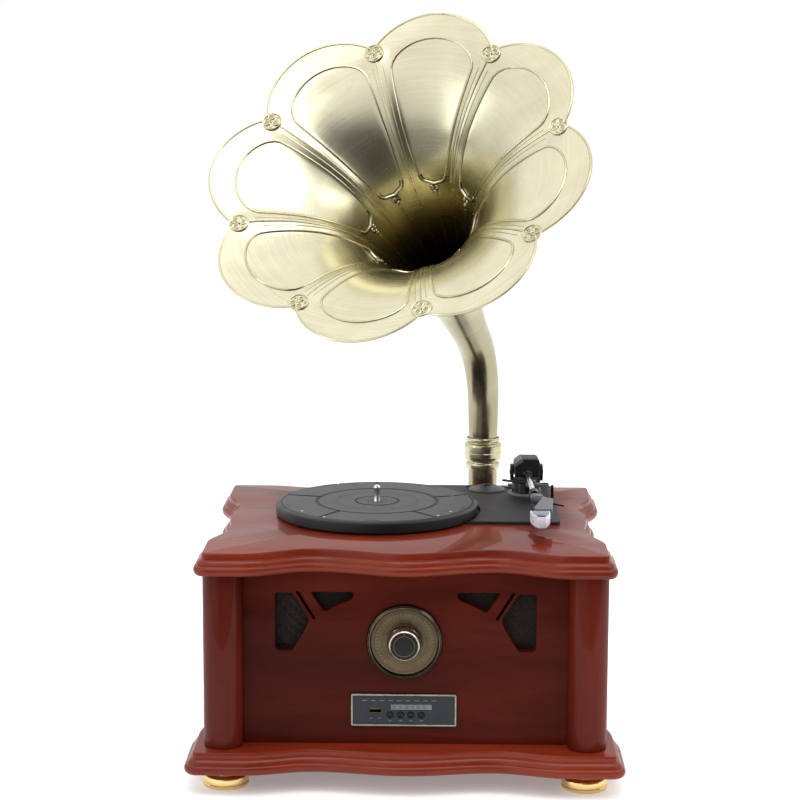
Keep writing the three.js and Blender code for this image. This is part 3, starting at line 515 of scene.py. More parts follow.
# ---- feet, posts and panels
foot = turned([(0, 0), (22.6, 0), (23.5, 0.3), (24, 1.1), (24, 3.4), (23.6, 3.8), (23.6, 4.3), (24, 4.7),
               (24, 9.2), (23.7, 10.2), (22.8, 11.1), (21.4, 11.7), (20.4, 12.6), (20, 13.8), (20, 19.8),
               (0, 19.8)], 64)
FOOT_SCALE = Matrix.Diagonal((0.91, 0.91, 1, 1))
column = turned([(0, BASE_TOP), (17.6, BASE_TOP), (18.1, BASE_TOP + 0.3), (18.25, BASE_TOP + 0.9),
                 (18.25, BOARD_UNDER - 0.9), (18.1, BOARD_UNDER - 0.3), (17.6, BOARD_UNDER), (0, BOARD_UNDER)],
                64)
for corner, sx, sy in (("front_left", -1, -1), ("front_right", 1, -1), ("rear_left", -1, 1),
                       ("rear_right", 1, 1)):
    build(f"brass_foot_{corner}", [foot], polished_brass, [f"foot_{corner}"],
          place=at(sx * 168, sy * 134.5, 0) @ FOOT_SCALE)
    build(f"column_{corner}", [column], cherry_z, [f"post_{corner}"], place=at(sx * 169.25, sy * 139.75, 0))

SPEAKER_OPENINGS = [
    [(-121.3, 131.5), (-118.5, 129), (-106.5, 129), (-104.5, 130.5), (-97.3, 142.3), (-91.2, 153), (-89.4, 160),
     (-105, 184.5), (-121.3, 184.5)],
    [(-85.2, 158.2), (-83.6, 160.2), (-98.6, 185.6), (-102.4, 185.6)],
    [(-75.4, 165.6), (-66, 171), (-48.6, 178.6), (-47.8, 185.4), (-88.4, 185.4)],
]
left_openings = [fillet(points, 3.2, 4) for points in SPEAKER_OPENINGS]
openings = left_openings + [[(-x, z) for x, z in reversed(points)] for points in left_openings]
DIAL_X, DIAL_Z, FACE_Y = -0.8, 138.8, -134.5
PANEL_X, PANEL_Z = -1.3, 73
display_hole = rectangle(PANEL_X - 46.2, PANEL_X + 46.2, PANEL_Z - 12.5, PANEL_Z + 12.5)
for name, y_front, holes, old in (
        ("front_board", FACE_Y, [*openings, circle(DIAL_X, DIAL_Z, 5.5), display_hole], "front_panel"),
        ("rear_board", -FACE_Y - 12, [rectangle(-136, -54, 92, 128)], "rear_panel")):
    wall = rectangle(-151.6, 151.6, BASE_TOP, BOARD_UNDER)
    build(name, [upright(wall, y_front, y_front + 12, 0.5, holes)], cherry_panel, [old])
for name, x in (("left", -158), ("right", 158)):
    side_wall = block(x - 6, x + 6, -121.4, 121.4, BASE_TOP, BOARD_UNDER, 0.5)
    build(f"{name}_board", [side_wall], cherry_y, [f"{name}_panel"])


# ---- speaker grilles
def woven_wires(x_middle, z_middle=157):
    """Crossed diagonal wires behind the openings, each bending over and under those it meets."""
    pitch, half_x, half_z, wave = 2.3, 41, 31, 0.28
    shapes = []
    reach = int((half_x + half_z) / pitch)
    for way in (-1, 1):
        for k in range(-reach, reach + 1):
            path = []
            for step in range(-60, 61):
                s = step * pitch / 2
                x, z = k * pitch + s, way * s
                if abs(x) < half_x and abs(z) < half_z:
                    lift = wave * (1 if (step + k * way) % 4 < 2 else -1) * way
                    path.append(Vector((x_middle + x, FACE_Y + 11 + lift, z_middle + z)))
            if len(path) > 3:
                shapes.append(wire(path, 0.42, 5))
    return shapes


for name, x in (("left", -84.5), ("right", 84.5)):
    build(f"grille_wires_{name}", woven_wires(x), speaker_wire)

# ---- tuning dial and knob
OUT_OF_FRONT = at(DIAL_X, FACE_Y, DIAL_Z) @ UPRIGHT
bezel = turned([(31.5, 0), (35.5, 0), (35.5, 1.5), (35.3, 2.5), (34.7, 3.5), (34.2, 3.9), (33.9, 3.9),
                (33.5, 4.3), (32.9, 4.9), (32.4, 5.15), (32.0, 5.1), (31.7, 4.7), (31.5, 4)], 96, True)
build("dial_rim", [bezel], dark_metal, ["dial_bezel"], place=OUT_OF_FRONT)
dial_disc = turned([(5.5, 0), (31.2, 0), (31.2, 2.5), (30.9, 2.9), (30.4, 3), (28.9, 3), (28.7, 2.75),
                    (28.2, 2.75), (28, 3), (20.9, 3), (20.7, 2.8), (20.1, 2.8), (19.9, 3), (5.5, 3)], 96, True)
build("dial_disc", [dial_disc], bronze, ["dial_face"], place=OUT_OF_FRONT)
ticks = []
for k in range(37):
    inner = 23.2 if k % 6 == 0 else 24.8
    ticks.append(moved(block(-0.22, 0.22, inner, 27, 2.9, 3.14, 0.05), spin(7.5 * k - 135, "Z")))
build("dial_ticks", ticks, display_print, place=OUT_OF_FRONT)
knob = turned([(0, 3.6), (16.9, 3.6), (17.5, 4.1, 0.35), (17.5, 6.4, 0.35), (17.1, 7.1), (16.5, 7.7),
               (16.2, 8.8), (15.5, 9.6), (15, 10.2), (14.85, 11, 0.25), (14.85, 16.6, 0.25), (14.6, 17.4),
               (14.2, 18), (13.8, 18.3), (13.3, 18.2), (13, 17.9), (0, 17.9)], 120)
build("knob_body", [knob], knob_chrome, ["tuning_knob"], "tuning_knob", place=OUT_OF_FRONT)
knob_disc = turned([(0, 17.8), (12.8, 17.8), (12.8, 18.15), (12.5, 18.35), (0, 18.5)], 72)
build("knob_disc", [knob_disc], gloss_black, (), "tuning_knob", OUT_OF_FRONT)
knob_details = [torus(at(0, 0, 18.35), 9.6, 0.4, 60, 8), block(-0.35, 0.35, 10.4, 12.2, 18.2, 18.5, 0.1)]
build("knob_details", knob_details, bronze, (), "tuning_knob", OUT_OF_FRONT)

# ---- display panel
HERE = at(PANEL_X, FACE_Y, PANEL_Z)
frame_ring = upright(rectangle(-49.2, 49.2, -15.5, 15.5, 1.6), -2.6, 0, 0.5,
                     [rectangle(-47.4, 47.4, -13.7, 13.7, 1)])
build("display_rim", [frame_ring], frame_metal, ["display_frame"], place=HERE)
button_x = [-12.7 + 9.67 * i for i in range(4)]
face_holes = [rectangle(-32.9, -20.1, -3.1, 2.7, 0.5), rectangle(-12.4, 26.4, 0, 5.8, 0.4),
              *[circle(x, -4.5, 3.2) for x in button_x]]
face_board = upright(rectangle(-47.2, 47.2, -13.5, 13.5, 0.8), -1.9, 0, 0.2, face_holes)
build("display_board", [face_board], slate_panel, ["display_face"], place=HERE)
glass = upright(rectangle(-12.2, 26.2, 0.25, 5.55, 0.4), -1.6, 0.6, 0.2)
build("display_glass", [glass], display_window, ["display_window"], place=HERE)
segments = []
for i in range(6):
    x = -8.6 + 5.6 * i
    segments += [bead(x, z, 1.5, 0.24, -1.72, -1.5, 0.03) for z in (1.5, 2.9, 4.3)]
    segments += [bead(x + dx, z, 0.24, 1, -1.72, -1.5, 0.03) for z in (2.2, 3.6) for dx in (-0.95, 0.95)]
build("display_segments", segments, gloss_black, place=HERE)
marks = [(-36.5 + 8.1 * i, 9.2, 4.2, 0.6) for i in range(9)]
for x in button_x:
    marks += [(x, -9.85, 3.4, 0.5), (x, -10.9, 0.6, 0.8)]
marks += [(x, -7.9, 2.4, 0.6) for x in (-30.5, -22.5)]
build("display_marks", [bead(*mark, -2.02, -1.8) for mark in marks], display_print, place=HERE)
button = turned([(0, -2.6), (2.9, -2.6), (2.9, 2.5), (2.75, 2.9), (2.4, 3.1), (1.9, 3.05), (1.2, 2.85),
                 (0, 2.75)], 32)
for i, x in enumerate(button_x, 1):
    build(f"push_button_{i}", [button], gloss_black, [f"button_{i}"], f"button_{i}",
          place=HERE @ at(x, 0, -4.5) @ UPRIGHT)

# ---- record deck, with heights above its top
SPINDLE_X, SPINDLE_Y = -31.2, 19.6
WELL_RADIUS = 102.5
SLOPE_FROM, SLOPE_LENGTH, SLOPE_DROP, UPPER_PART = 31, 59, 1.6, -3.2


def on_deck(x, y, z=0.0):
    return at(x, y, DECK_TOP + z)


def deck_shape():
    """The raised deck around the platter, with its front strip sloping down."""
    outline = [(SPINDLE_X + 90.78, -28), (145, -28), (148, -25), (148, 138), (145, 141), (-73, 141), (-76, 138),
               (-76, 111.8)]
    outline += circle(SPINDLE_X, SPINDLE_Y, WELL_RADIUS, 48, 115.2, -27.2)
    lift_hole = circle(124.02, 67.25, 2.4, 16)
    selector_slot = rectangle(99, 117, 126.6, 131.4, 1.2)
    points, faces = plate(outline, -4.6, 0, 0.7, [lift_hole, selector_slot])
    bm = bmesh.new()
    made = [bm.verts.new(point) for point in points]
    for face in faces:
        bm.faces.new([made[i] for i in face])
    bmesh.ops.bisect_plane(bm, geom=[*bm.verts, *bm.edges, *bm.faces], plane_co=(0, SLOPE_FROM, 0),
                           plane_no=(0, 1, 0))
    for vert in bm.verts:
        if vert.co.z > UPPER_PART and vert.co.y < SLOPE_FROM:
            vert.co.z -= SLOPE_DROP * (SLOPE_FROM - vert.co.y) / SLOPE_LENGTH
    bm.verts.index_update()
    shape = ([v.co.copy() for v in bm.verts], [tuple(v.index for v in f.verts) for f in bm.faces])
    bm.free()
    return shape


sheet = plate(rectangle(-76, 148, -28, 141, 3), -4.8, -3.8, 0.3,
              [circle(SPINDLE_X, SPINDLE_Y, 8.3), circle(34.58, -4.34, 8.5)])
build("deck_body", [deck_shape(), sheet], deck_plastic, ["deck_plate"], place=on_deck(0, 0), crease=25)
deck_screws = [on_deck(139, -19, -1.3), on_deck(139, 133), on_deck(-68, 133), on_deck(60, 133)]
build("deck_screws", [screw_head(m, 2.2) for m in deck_screws], gloss_black)
speed_marks = [block(x - 0.35, x + 0.35, 134, 136.6, -0.1, 0.12, 0.05) for x in (101, 105.3, 111.6)]
build("speed_marks", speed_marks, mark_paint, place=on_deck(0, 0))

ON_SPINDLE = on_deck(SPINDLE_X, SPINDLE_Y)
platter_profile = [(3.8, -1.6), (12, -1.6), (12, 4.4), (57, 4.4), (57, -1.4), (60, -1.4), (60, 4.4),
                   (96.5, 4.4), (96.5, -3), (99.6, -3), (100, -2.6), (100, 5.4), (99.7, 6.2),
                   (99, 6.7), (96.6, 7.7), (95.4, 8), (94.7, 8), (94.5, 7.5), (61, 7.5), (60.8, 8),
                   (59.8, 8), (59.5, 7.3), (58.5, 7.3), (58.2, 8), (22.4, 8), (22.1, 7.3),
                   (20.9, 7.3), (20.6, 8.1), (11.5, 8.1), (11.2, 7.6), (9.6, 7.6), (9.3, 8.2), (5.2, 8.2),
                   (4.8, 7.8), (3.8, 7.8)]
build("platter_body", [turned(platter_profile, 160, True)], black_plastic, ["platter"], "platter",
      place=ON_SPINDLE)
platter_rings = [turned([(r0, 7.5), (r1, 7.5), (r1, top), (r0, top)], 120, True)
                 for r0, r1, top in ((22.6, 40.2, 8.1), (40.9, 57.9, 8.1), (9.9, 20.2, 8.2), (5.4, 9.4, 8.25))]
build("platter_rings", platter_rings, platter_plastic, (), "platter", place=ON_SPINDLE)
sectors, slots = [], []
for k in range(5):
    start = 20 + 72 * k
    outline = circle(0, 0, 94, 26, start + 1, start + 71) + circle(0, 0, 61.4, 22, start + 68.5, start + 1)
    sectors.append(plate(fillet(outline, 1.2), 7.3, 8.16, 0.18))
    slots.append(plate(curved_slot(91.5, 89.3, start + 28, start + 38, 8), 8, 8.22, 0.05))
for start in (30, 150, 270):
    slots.append(plate(curved_slot(17.6, 15.8, start, start + 44, 10), 7.9, 8.16, 0.05))
hole = turned([(0, 7.9), (3.3, 7.9), (3.3, 8.22), (2.6, 8.3), (2.2, 8.1), (0, 8.05)], 20)
holes = [moved(hole, at(*polar(radius, angle)))
         for angle, radius in ((152, 42), (20, 78), (-115, 84), (108, 86))]
pin = turned([(0, 7.9), (1.2, 7.9), (1.2, 8.3), (0.8, 8.6), (0, 8.7)], 14)
pins = [moved(pin, at(*polar(radius, angle)))
        for angle, radius in ((-144, 88), (-122, 91), (-34, 88), (-48, 91), (118, 91))]
build("platter_sectors", sectors, platter_plastic, (), "platter", place=ON_SPINDLE)
build("platter_slots", slots + holes, gloss_black, (), "platter", place=ON_SPINDLE)
build("platter_pins", pins, bright_steel, (), "platter", place=ON_SPINDLE)
spindle_pin = turned([(0, -22.2), (3.2, -22.2), (3.5, -21.8), (3.5, 8.8), (3.3, 9.2), (3.3, 20.4), (3.5, 20.8),
                      (3.4, 22), (2.9, 23.1), (2, 23.9), (0.9, 24.2), (0, 24.2)], 40)
build("spindle_pin", [spindle_pin], bright_steel, ["spindle"], "platter", place=ON_SPINDLE)
adapter_ring = turned([(4, 0), (18.8, 0), (18.8, 0.8), (18.4, 1.2), (16.2, 2.4), (12, 3.7), (8.6, 4.8),
                       (7.6, 5), (4.6, 5), (4, 4.6)], 64, True)
build("adapter_ring", [adapter_ring], adapter_plastic, ["adapter_45"], "adapter_45", place=on_deck(80, 117))

# ---- tonearm, with heights above the floor
PIVOT_HEIGHT = 254
PIVOT = at(120, 100, 0)
ARM_FRAME = PIVOT @ spin(1.8, "Z")
LIFT_AXIS = ARM_FRAME @ at(0, 0, PIVOT_HEIGHT)
TILTED = LIFT_AXIS @ spin(0.9, "X")
ALONG_ARM = TILTED @ UPRIGHT
drum = turned([(0, 231.2), (16.5, 231.2), (16.5, 233), (16.1, 233.6), (15, 234.2), (14.7, 235.2), (14.6, 244.2),
               (14.3, 244.8), (13.8, 245), (0, 245)], 64)
build("arm_drum", [drum], gloss_black, ["tonearm_base"], place=PIVOT)
drum_ring = turned([(15.2, 231.2), (19.4, 231.2), (19.4, 232.2), (18.9, 232.9), (17.2, 233.4), (15.2, 233.4)],
                   64, True)
build("arm_drum_ring", [drum_ring], grey_plastic, place=PIVOT)
fork = [turned([(0, 245.4), (13.2, 245.4), (13.6, 245.7), (13.6, 247.1), (13.3, 247.4), (0, 247.4)], 56),
        block(-16.6, 16.6, -7, 7, 245.8, 247.4, 0.3)]
cheek = fillet([(-7, 246), (7, 246), (7, 256), (4.5, 262), (-4.5, 262), (-7, 256)], 2, 4)
cap = turned([(0, 0), (2.4, 0), (2.4, 0.5), (1.9, 0.9), (0, 1)], 20)
for side in (-1, 1):
    fork += [moved(plate(cheek, side * 15 - 1.6, side * 15 + 1.6, 0.4), SIDEWAYS),
             moved(cap, at(side * 16.5, 0, PIVOT_HEIGHT) @ spin(side * 90, "Y"))]
build("arm_fork", fork, black_plastic, ["tonearm_turret"], "tonearm_turret", place=ARM_FRAME)
housing_outline = [(-12.8, -3), (12.8, -3), (12.8, 13), (10.5, 15.6), (-6.5, 15.6), (-12.8, 11)]
housing = [upright(fillet(housing_outline, 1.2), -15, 12, 0.7),
           upright(rectangle(-12.95, 12.95, 5.2, 6.3, 0.3), -15.15, 12.15, 0.2),
           block(-5.6, 10, -13, 10, 15.4, 16, 0.3)]
build("arm_housing", housing, black_plastic, ["tonearm_housing"], "tonearm", place=LIFT_AXIS)
facet_outline = [(-13, 7.6), (-12.6, 11.3), (-6.6, 15.95), (-4.4, 15.9), (-4.4, 13), (-9, 10)]
facet_plate = grid([[Vector((x, y, z)) for x, z in facet_outline] for y in (-15.3, 11.5)])
build("arm_facet", [facet_plate], grey_plastic, (), "tonearm", LIFT_AXIS)
nozzle = turned([(0, 14.6), (5.2, 14.6), (5.2, 16), (4.4, 17.2), (3.2, 18), (3.2, 18.6), (0, 18.6)], 32)
build("arm_nozzle", [nozzle], gloss_black, (), "tonearm", place=ALONG_ARM)
tube = turned([(0, 9.5), (2.5, 9.5), (2.5, 100.5), (2.3, 101), (0, 101)], 40)
build("arm_tube", [tube], bright_steel, ["tonearm_tube"], "tonearm", place=ALONG_ARM)
collar = turned([(0, 100.2), (4.4, 100.2), (5, 100.8), (5, 103), (4.6, 103.4), (4.6, 104), (5, 104.4), (5, 112),
                 (4.5, 112.7), (0, 112.7)], 40)
build("arm_collar_ring", [collar], gloss_black, ["arm_collar"], "tonearm", place=ALONG_ARM)
head_outline = [(-4.5, -113), (-4.5, -126), (5.5, -131), (-4, -168), (-4, -180), (11.8, -180), (16.5, -134),
                (9, -128), (6.5, -113)]
neck_outline = [(-2.6, -114.5), (-2.6, -125), (4, -128.5), (7, -127.5), (4.8, -114.5)]
finger = [(12, -146), (24, -158), (25.4, -156.6), (12, -142)]
head = [plate(fillet(head_outline, 2, 4), -2.6, 2.2, 0.8), plate(fillet(neck_outline, 1.5), 1.8, 3, 0.4)]
build("head_body", head, grey_plastic, ["headshell"], "tonearm", place=TILTED)
build("head_finger", [plate(fillet(finger, 0.6), -0.8, 0.8, 0.3)], gloss_black, (), "tonearm", place=TILTED)
cartridge = [block(-4, 9, -176, -130, -8.6, -2.9, 0.5), block(-4.5, 5.5, -190, -174, -8.6, -4, 0.6),
             block(-2.4, 3.4, -191, -188, -7.6, -5.2, 0.3)]
build("cartridge_body", cartridge, gloss_black, ["cartridge"], "tonearm", place=TILTED)


def guard_row(half, back, tip, z):
    """A level of the guard: half its width, its back and the reach of its tip."""
    right = [(0.15 * half, -tip - 0.5), (0.42 * half, -tip), (0.72 * half, -199), (0.96 * half, -192),
             (half, -186), (half, back)]
    return [Vector((-x, y, z)) for x, y in reversed(right)] + [Vector((x, y, z)) for x, y in right]


# A pointed scoop with a thin wall, open above and behind: rows up the outside, then down the inside.
guard = grid([guard_row(7.9, -180.6, 205.6, -10.4), guard_row(8.9, -180.5, 206.6, -9.8),
              guard_row(9.3, -180.4, 207, -8), guard_row(9.3, -180.4, 207, 0.2),
              guard_row(9.1, -180.5, 206.8, 0.6), guard_row(7.8, -180.5, 205.2, 0.5),
              guard_row(7.6, -180.5, 204.6, -8), guard_row(6.9, -180.6, 203.6, -9.2)])
build("guard_scoop", [guard], white_plastic, ["stylus_guard"], "stylus_guard", place=TILTED)

# ---- arm rest, cueing and speed selector
rest = [block(-4, 4, -4.5, 4.5, 0, 19.2, 1), block(-19, 4, -4, 4, 15.8, 19.2, 0.8),
        block(-12, -9.4, -4, 4, 18.2, 22.2, 0.7),
        turned([(0, 0), (5.8, 0), (5.8, 0.8), (5.4, 1.6), (4.6, 2), (0, 2)], 32)]
build("arm_rest_body", rest, grey_plastic, ["arm_rest"], place=on_deck(137, 58))
blade = [(-2.2, 0), (2.2, 0), (2.0, 12), (1.4, 14.2), (-1.4, 14.2), (-2.0, 12)]
lever = [plate(fillet(blade, 0.6), -1.4, 1.4, 0.35), plate(circle(0, 0, 2.5, 28), -1.4, 1.4, 0.3)]
build("cue_lever_blade", lever, gloss_black, ["cue_lever"], "cue_lever", place=on_deck(144.6, 60, 2.8)
      @ SIDEWAYS)
lift_rod = moved(turned([(0, 222), (2, 222), (2, 249), (0, 249)], 24), at(4.02, -32.75, 0))
lift = [plate(curved_slot(35, 31, -138, -80, 24), 248.6, 250.4, 0.4), lift_rod]
build("lift_bar_body", lift, black_plastic, ["lift_bar"], "lift_bar", place=PIVOT)
selector = [block(102, 108, 127, 131, -7.2, 4.2, 0.6), block(101.4, 108.6, 126.2, 131.8, 0.3, 1.4, 0.3)]
build("speed_selector_body", selector, grey_plastic, ["speed_selector"], "speed_selector", place=on_deck(0, 0))

# ---- rear ports
PORTS = at(-95, 134.5, 110) @ BACKWARD
port_screws = [PORTS @ at(x, y, 2) for x in (-42, 42) for y in (-19, 19)]
build("port_screws", [screw_head(m, 2.4) for m in port_screws], bright_steel)
build("port_screw_crosses", [bar for m in port_screws for bar in screw_cross(m, 2.4)], dark_metal)
socket_ring = turned([(1.95, 8.6), (4.5, 8.6), (4.5, 9.2), (1.95, 9.2)], 32, True)
build("socket_rings", [moved(socket_ring, at(x, 0, 0)) for x in (22, 36)], bright_steel, place=PORTS)
inlet_pins = [block(x - 0.9, x + 0.9, -0.9, 0.9, -14, -4, 0.2) for x in (-31, -23)]
build("inlet_pins", inlet_pins, bright_steel, place=PORTS)
rocker_marks = [block(-2.4, 2.4, 4.4, 5, 5.05, 5.3, 0.08), torus(at(0, -4.4, 5.15), 1.6, 0.22, 20, 6)]
build("rocker_marks", rocker_marks, mark_paint, (), "power_switch", place=PORTS)
rear_screws = [at(x, 134.5, z) @ BACKWARD for x in (-144, 144) for z in (50, 122, 196)]
build("rear_screws", [screw_head(m, 2.8) for m in rear_screws], bright_steel)

# ---- horn bracket, post, collar and elbow
HORN = at(76.5, 172, 0)


def bracket_arm(z0, z1, bored):
    """An arm that ends in a round boss about the post."""
    outline = [(-20, -35), (20, -35), (20, 0), *circle(0, 0, 20, 24, 0, 180)[1:]]
    return plate(outline, z0, z1, 0.8, [circle(0, 0, 15.65, 48)] if bored else ())


bracket = [upright(rectangle(-24, 24, 66, 192, 5), -37.2, -31.5, 0.8), bracket_arm(70, 77.5, False),
           bracket_arm(77.6, 96, True), bracket_arm(172, 188, True)]
build("bracket_body", bracket, cherry_z, ["horn_bracket"], place=HORN)
bracket_screws = [HORN @ at(x, -31.5, z) @ BACKWARD for x in (-12, 12) for z in (110, 158)]
build("bracket_screws", [screw_head(m, 3) for m in bracket_screws], bright_steel)
post = turned([(0, 78), (14.6, 78), (15.2, 78.4), (15.35, 79), (15.35, 258), (13.8, 258), (13.8, 84), (0, 84)],
              72)
build("horn_post_tube", [post], aged_brass, ["horn_post"], place=HORN)
COLLAR_FOOT = 244
collar_profile = [(15.75, 0), (17.3, 0), (17.8, 0.4), (17.95, 1.6), (17.95, 4.6), (17.8, 5.8),
                  (17.2, 6.6), (16.5, 7), (16.3, 7.8), (16.6, 8.6), (18, 9.4), (19.2, 10), (19.7, 11),
                  (19.8, 13), (19.8, 17.2), (19.5, 17.6), (19.5, 18.6), (19.8, 19), (19.8, 24), (19.7, 25.6),
                  (19.2, 26.6), (18, 27.2), (16.6, 27.8), (16.3, 28.4), (16.6, 29), (17.4, 29.4), (17.9, 30),
                  (18, 31.2), (17.8, 32.4), (17.2, 33), (15.75, 33)]
build("collar_ring", [turned(collar_profile, 80, True)], antique_brass, ["horn_collar"], "horn",
      place=HORN @ at(0, 0, COLLAR_FOOT))

TURN, RISE = 20.16, 39.26  # the horn's axis, in degrees to the left of the front and above level
outward = towards(-TURN, RISE)
across = Vector((cos(rad(TURN)), -sin(rad(TURN)), 0))
upward = outward.cross(across)
axis_corner = Vector((76.5, 172, 358.8))
mouth = axis_corner + outward * 327.9
BEND_RADIUS, BEND_START = 100, 258.3
bend_angle = 90 - RISE
lean = towards(-TURN, 0)
beside = Vector((-lean.y, lean.x, 0))

MOUTH_RADIUS, TIP_RADIUS, PETALS, FLARE_DEPTH, FLARE_POWER, NECK_DEPTH = 161.5, 188, 8, 72.85, 0.7, 250
HALF = pi / PETALS
notch_half = MOUTH_RADIUS * sin(HALF)
petal_rise = TIP_RADIUS - MOUTH_RADIUS * cos(HALF)
petal_arc = (notch_half ** 2 + petal_rise ** 2) / (2 * petal_rise)
petal_centre = TIP_RADIUS - petal_arc


def flare_depth(radius):
    return FLARE_DEPTH * ((MOUTH_RADIUS / radius) ** FLARE_POWER - 1)


def flare_radius(depth):
    return MOUTH_RADIUS * (depth / FLARE_DEPTH + 1) ** (-1 / FLARE_POWER)


NECK_RADIUS = flare_radius(NECK_DEPTH)


def elbow_row(centre, angle, radius):
    """A ring of the elbow, where the tube has turned by an angle from upright."""
    front = lean * cos(rad(angle)) - Vector((0, 0, sin(rad(angle))))
    return [centre + front * c.x + beside * c.y for c in arc(radius, steps=64)]


bend_base = axis_corner - Vector((0, 0, BEND_RADIUS * tan(rad(bend_angle / 2))))
elbow_stations = [(Vector((*axis_corner.xy, z)), 0, 15.35) for z in (BEND_START, 278)]
for i in range(5):
    z = 278.5 + (bend_base.z - 278.5) * i / 5
    elbow_stations.append((Vector((*axis_corner.xy, z)), 0, 15.45 + 0.75 * i / 5))
for i in range(25):
    angle = bend_angle * i / 24
    away = polar(BEND_RADIUS, angle)
    centre = bend_base + Vector((0, 0, away.y)) + lean * (BEND_RADIUS - away.x)
    elbow_stations.append((centre, angle, 16.2 + 2.7 * i / 24))
elbow_end = mouth - outward * (NECK_DEPTH + 0.3)
elbow_stations.append((elbow_end - outward * 12, bend_angle, 19.7))
elbow_stations.append((elbow_end, bend_angle, NECK_RADIUS + 1.6))
elbow_rows = [elbow_row(*station) for station in elbow_stations]
elbow_rows += [elbow_row(c, a, r - 1.8) for c, a, r in reversed(elbow_stations)]
build("elbow_tube", [grid(elbow_rows, True)], aged_brass, ["horn_elbow"], "horn")


# ---- horn bell, in angles in radians about its axis
def petal_local(angle):
    """The angle from the nearest petal's middle."""
    period = 2 * HALF
    offset = angle - pi / 2
    return offset - period * round(offset / period)


def edge_radius(angle):
    local = petal_local(angle)
    return petal_centre * cos(local) + sqrt(petal_arc ** 2 - (petal_centre * sin(local)) ** 2)


def smooth(value, low, high):
    t = min(1.0, max(0.0, (value - low) / (high - low)))
    return t * t * (3 - 2 * t)


def relief(angle, radius):
    """How far the sheet stands forward: the bands between the petals' fields, and the dish of each field."""
    local = abs(petal_local(angle))
    side = radius * sin(HALF - local)
    band = 1 - smooth(side, 2.2, 0.17 * radius * 0.5 + 4)
    field = smooth(radius, 54, 80) * (1 - smooth(radius, 140, 164))
    return (1.5 * band * smooth(radius, 42, 80) * (1 - smooth(radius, 150, 161))
            - 1.1 * field * cos(min(1.0, local / HALF) * pi / 2) ** 0.7)


def on_bell(angle, radius, lift=0.0):
    """A point on the inside of the bell, lifted off it towards the axis."""
    slope = atan2(flare_depth(radius) - flare_depth(radius + 0.5), 0.5)
    off = lift + relief(angle, radius)
    r, d = radius - off * sin(slope), flare_depth(radius) - off * cos(slope)
    return mouth + across * (r * cos(angle)) + upward * (r * sin(angle)) - outward * d


BELL_SIDES, BELL_STATIONS = 320, 84
SHEET, RIM_MARGIN = 1.6, 0.9  # the sheet's thickness, and how far it stops short of the rolled rim's outline
side_angles = [pi / 2 + 2 * pi * i / BELL_SIDES for i in range(BELL_SIDES)]


def bell_rows(back):
    """Rings from the neck to the petals' edge, closer together near the neck."""
    rows = []
    for k in range(BELL_STATIONS + 1):
        share = (k / BELL_STATIONS) ** 1.5
        rows.append([on_bell(angle, NECK_RADIUS + (edge_radius(angle) - RIM_MARGIN - NECK_RADIUS) * share,
                             -back) for angle in side_angles])
    return rows


bell = build("bell_sheet", [grid([*bell_rows(SHEET), *reversed(bell_rows(0))], True)], bell_brass,
             ["horn_bell"], "horn", crease=60)


# V also places the bell's painted shade, darkest deep in the throat.
INSIDE_V, V_LENGTH, OUTSIDE_V = 0.1, 200, 0.06  # V at the mouth, millimetres to a unit of V, and V outside


def unwrap(piece):
    """Lays U around the horn's axis and V along it, so that brushing runs around the bell.
    Outside, V is even and only falls to zero at the neck."""
    layer = piece.data.uv_layers.new(name="around_and_along")
    places = []
    outside = (BELL_STATIONS + 1) * BELL_SIDES
    for vert in piece.data.vertices:
        offset = vert.co / MM - mouth
        depth = -offset.dot(outward)
        if vert.index < outside:
            along = OUTSIDE_V * (1 - smooth(depth, 150, 240))
        else:
            along = INSIDE_V + depth / V_LENGTH
        places.append((atan2(offset.dot(upward), offset.dot(across)) / (2 * pi), along))
    for polygon in piece.data.polygons:
        turns = [places[i][0] for i in polygon.vertices]
        wrap = max(turns) - min(turns) > 0.5
        for loop in polygon.loop_indices:
            u, v = places[piece.data.loops[loop].vertex_index]
            layer.data[loop].uv = (u + 1 if wrap and u < 0 else u, v)


unwrap(bell)


def bell_path(points, lift):
    return [on_bell(angle, radius, lift) for angle, radius in points]


# The raised line up one side of a petal's field and over its arch: degrees from the middle, radius.
PETAL_LINE = [(13.0, 56.6), (14.4, 62), (15.8, 70), (16.6, 78), (17.1, 90), (17.3, 104), (17.4, 118),
              (17.4, 130), (17.2, 139), (16.4, 144), (14.6, 149.5), (12.4, 153.8), (9.8, 157.4), (7, 160.2),
              (3.6, 162.2), (0, 162.9)]


def petal_loop(middle):
    """The raised line round a petal's field: up one side, over the arch and down the other."""
    whole = PETAL_LINE + [(-a, r) for a, r in reversed(PETAL_LINE[:-1])]
    points = []
    for (a0, r0), (a1, r1) in zip(whole, whole[1:]):
        for k in range(4):
            points.append((middle + rad(a0 + (a1 - a0) * k / 4), r0 + (r1 - r0) * k / 4))
    points.append((middle + rad(whole[-1][0]), whole[-1][1]))
    return points


def on_sheet(angle, radius, lift=0.0):
    """A frame on the bell's inside, X around it, Y outwards along it and Z off the sheet."""
    here = on_bell(angle, radius, lift)
    along = (on_bell(angle, radius + 1, lift) - on_bell(angle, radius - 1, lift)).normalized()
    around = (on_bell(angle + 0.01, radius, lift) - on_bell(angle - 0.01, radius, lift)).normalized()
    off = along.cross(around).normalized()
    return Matrix.Translation(here) @ Matrix((-around, along, off)).transposed().to_4x4()


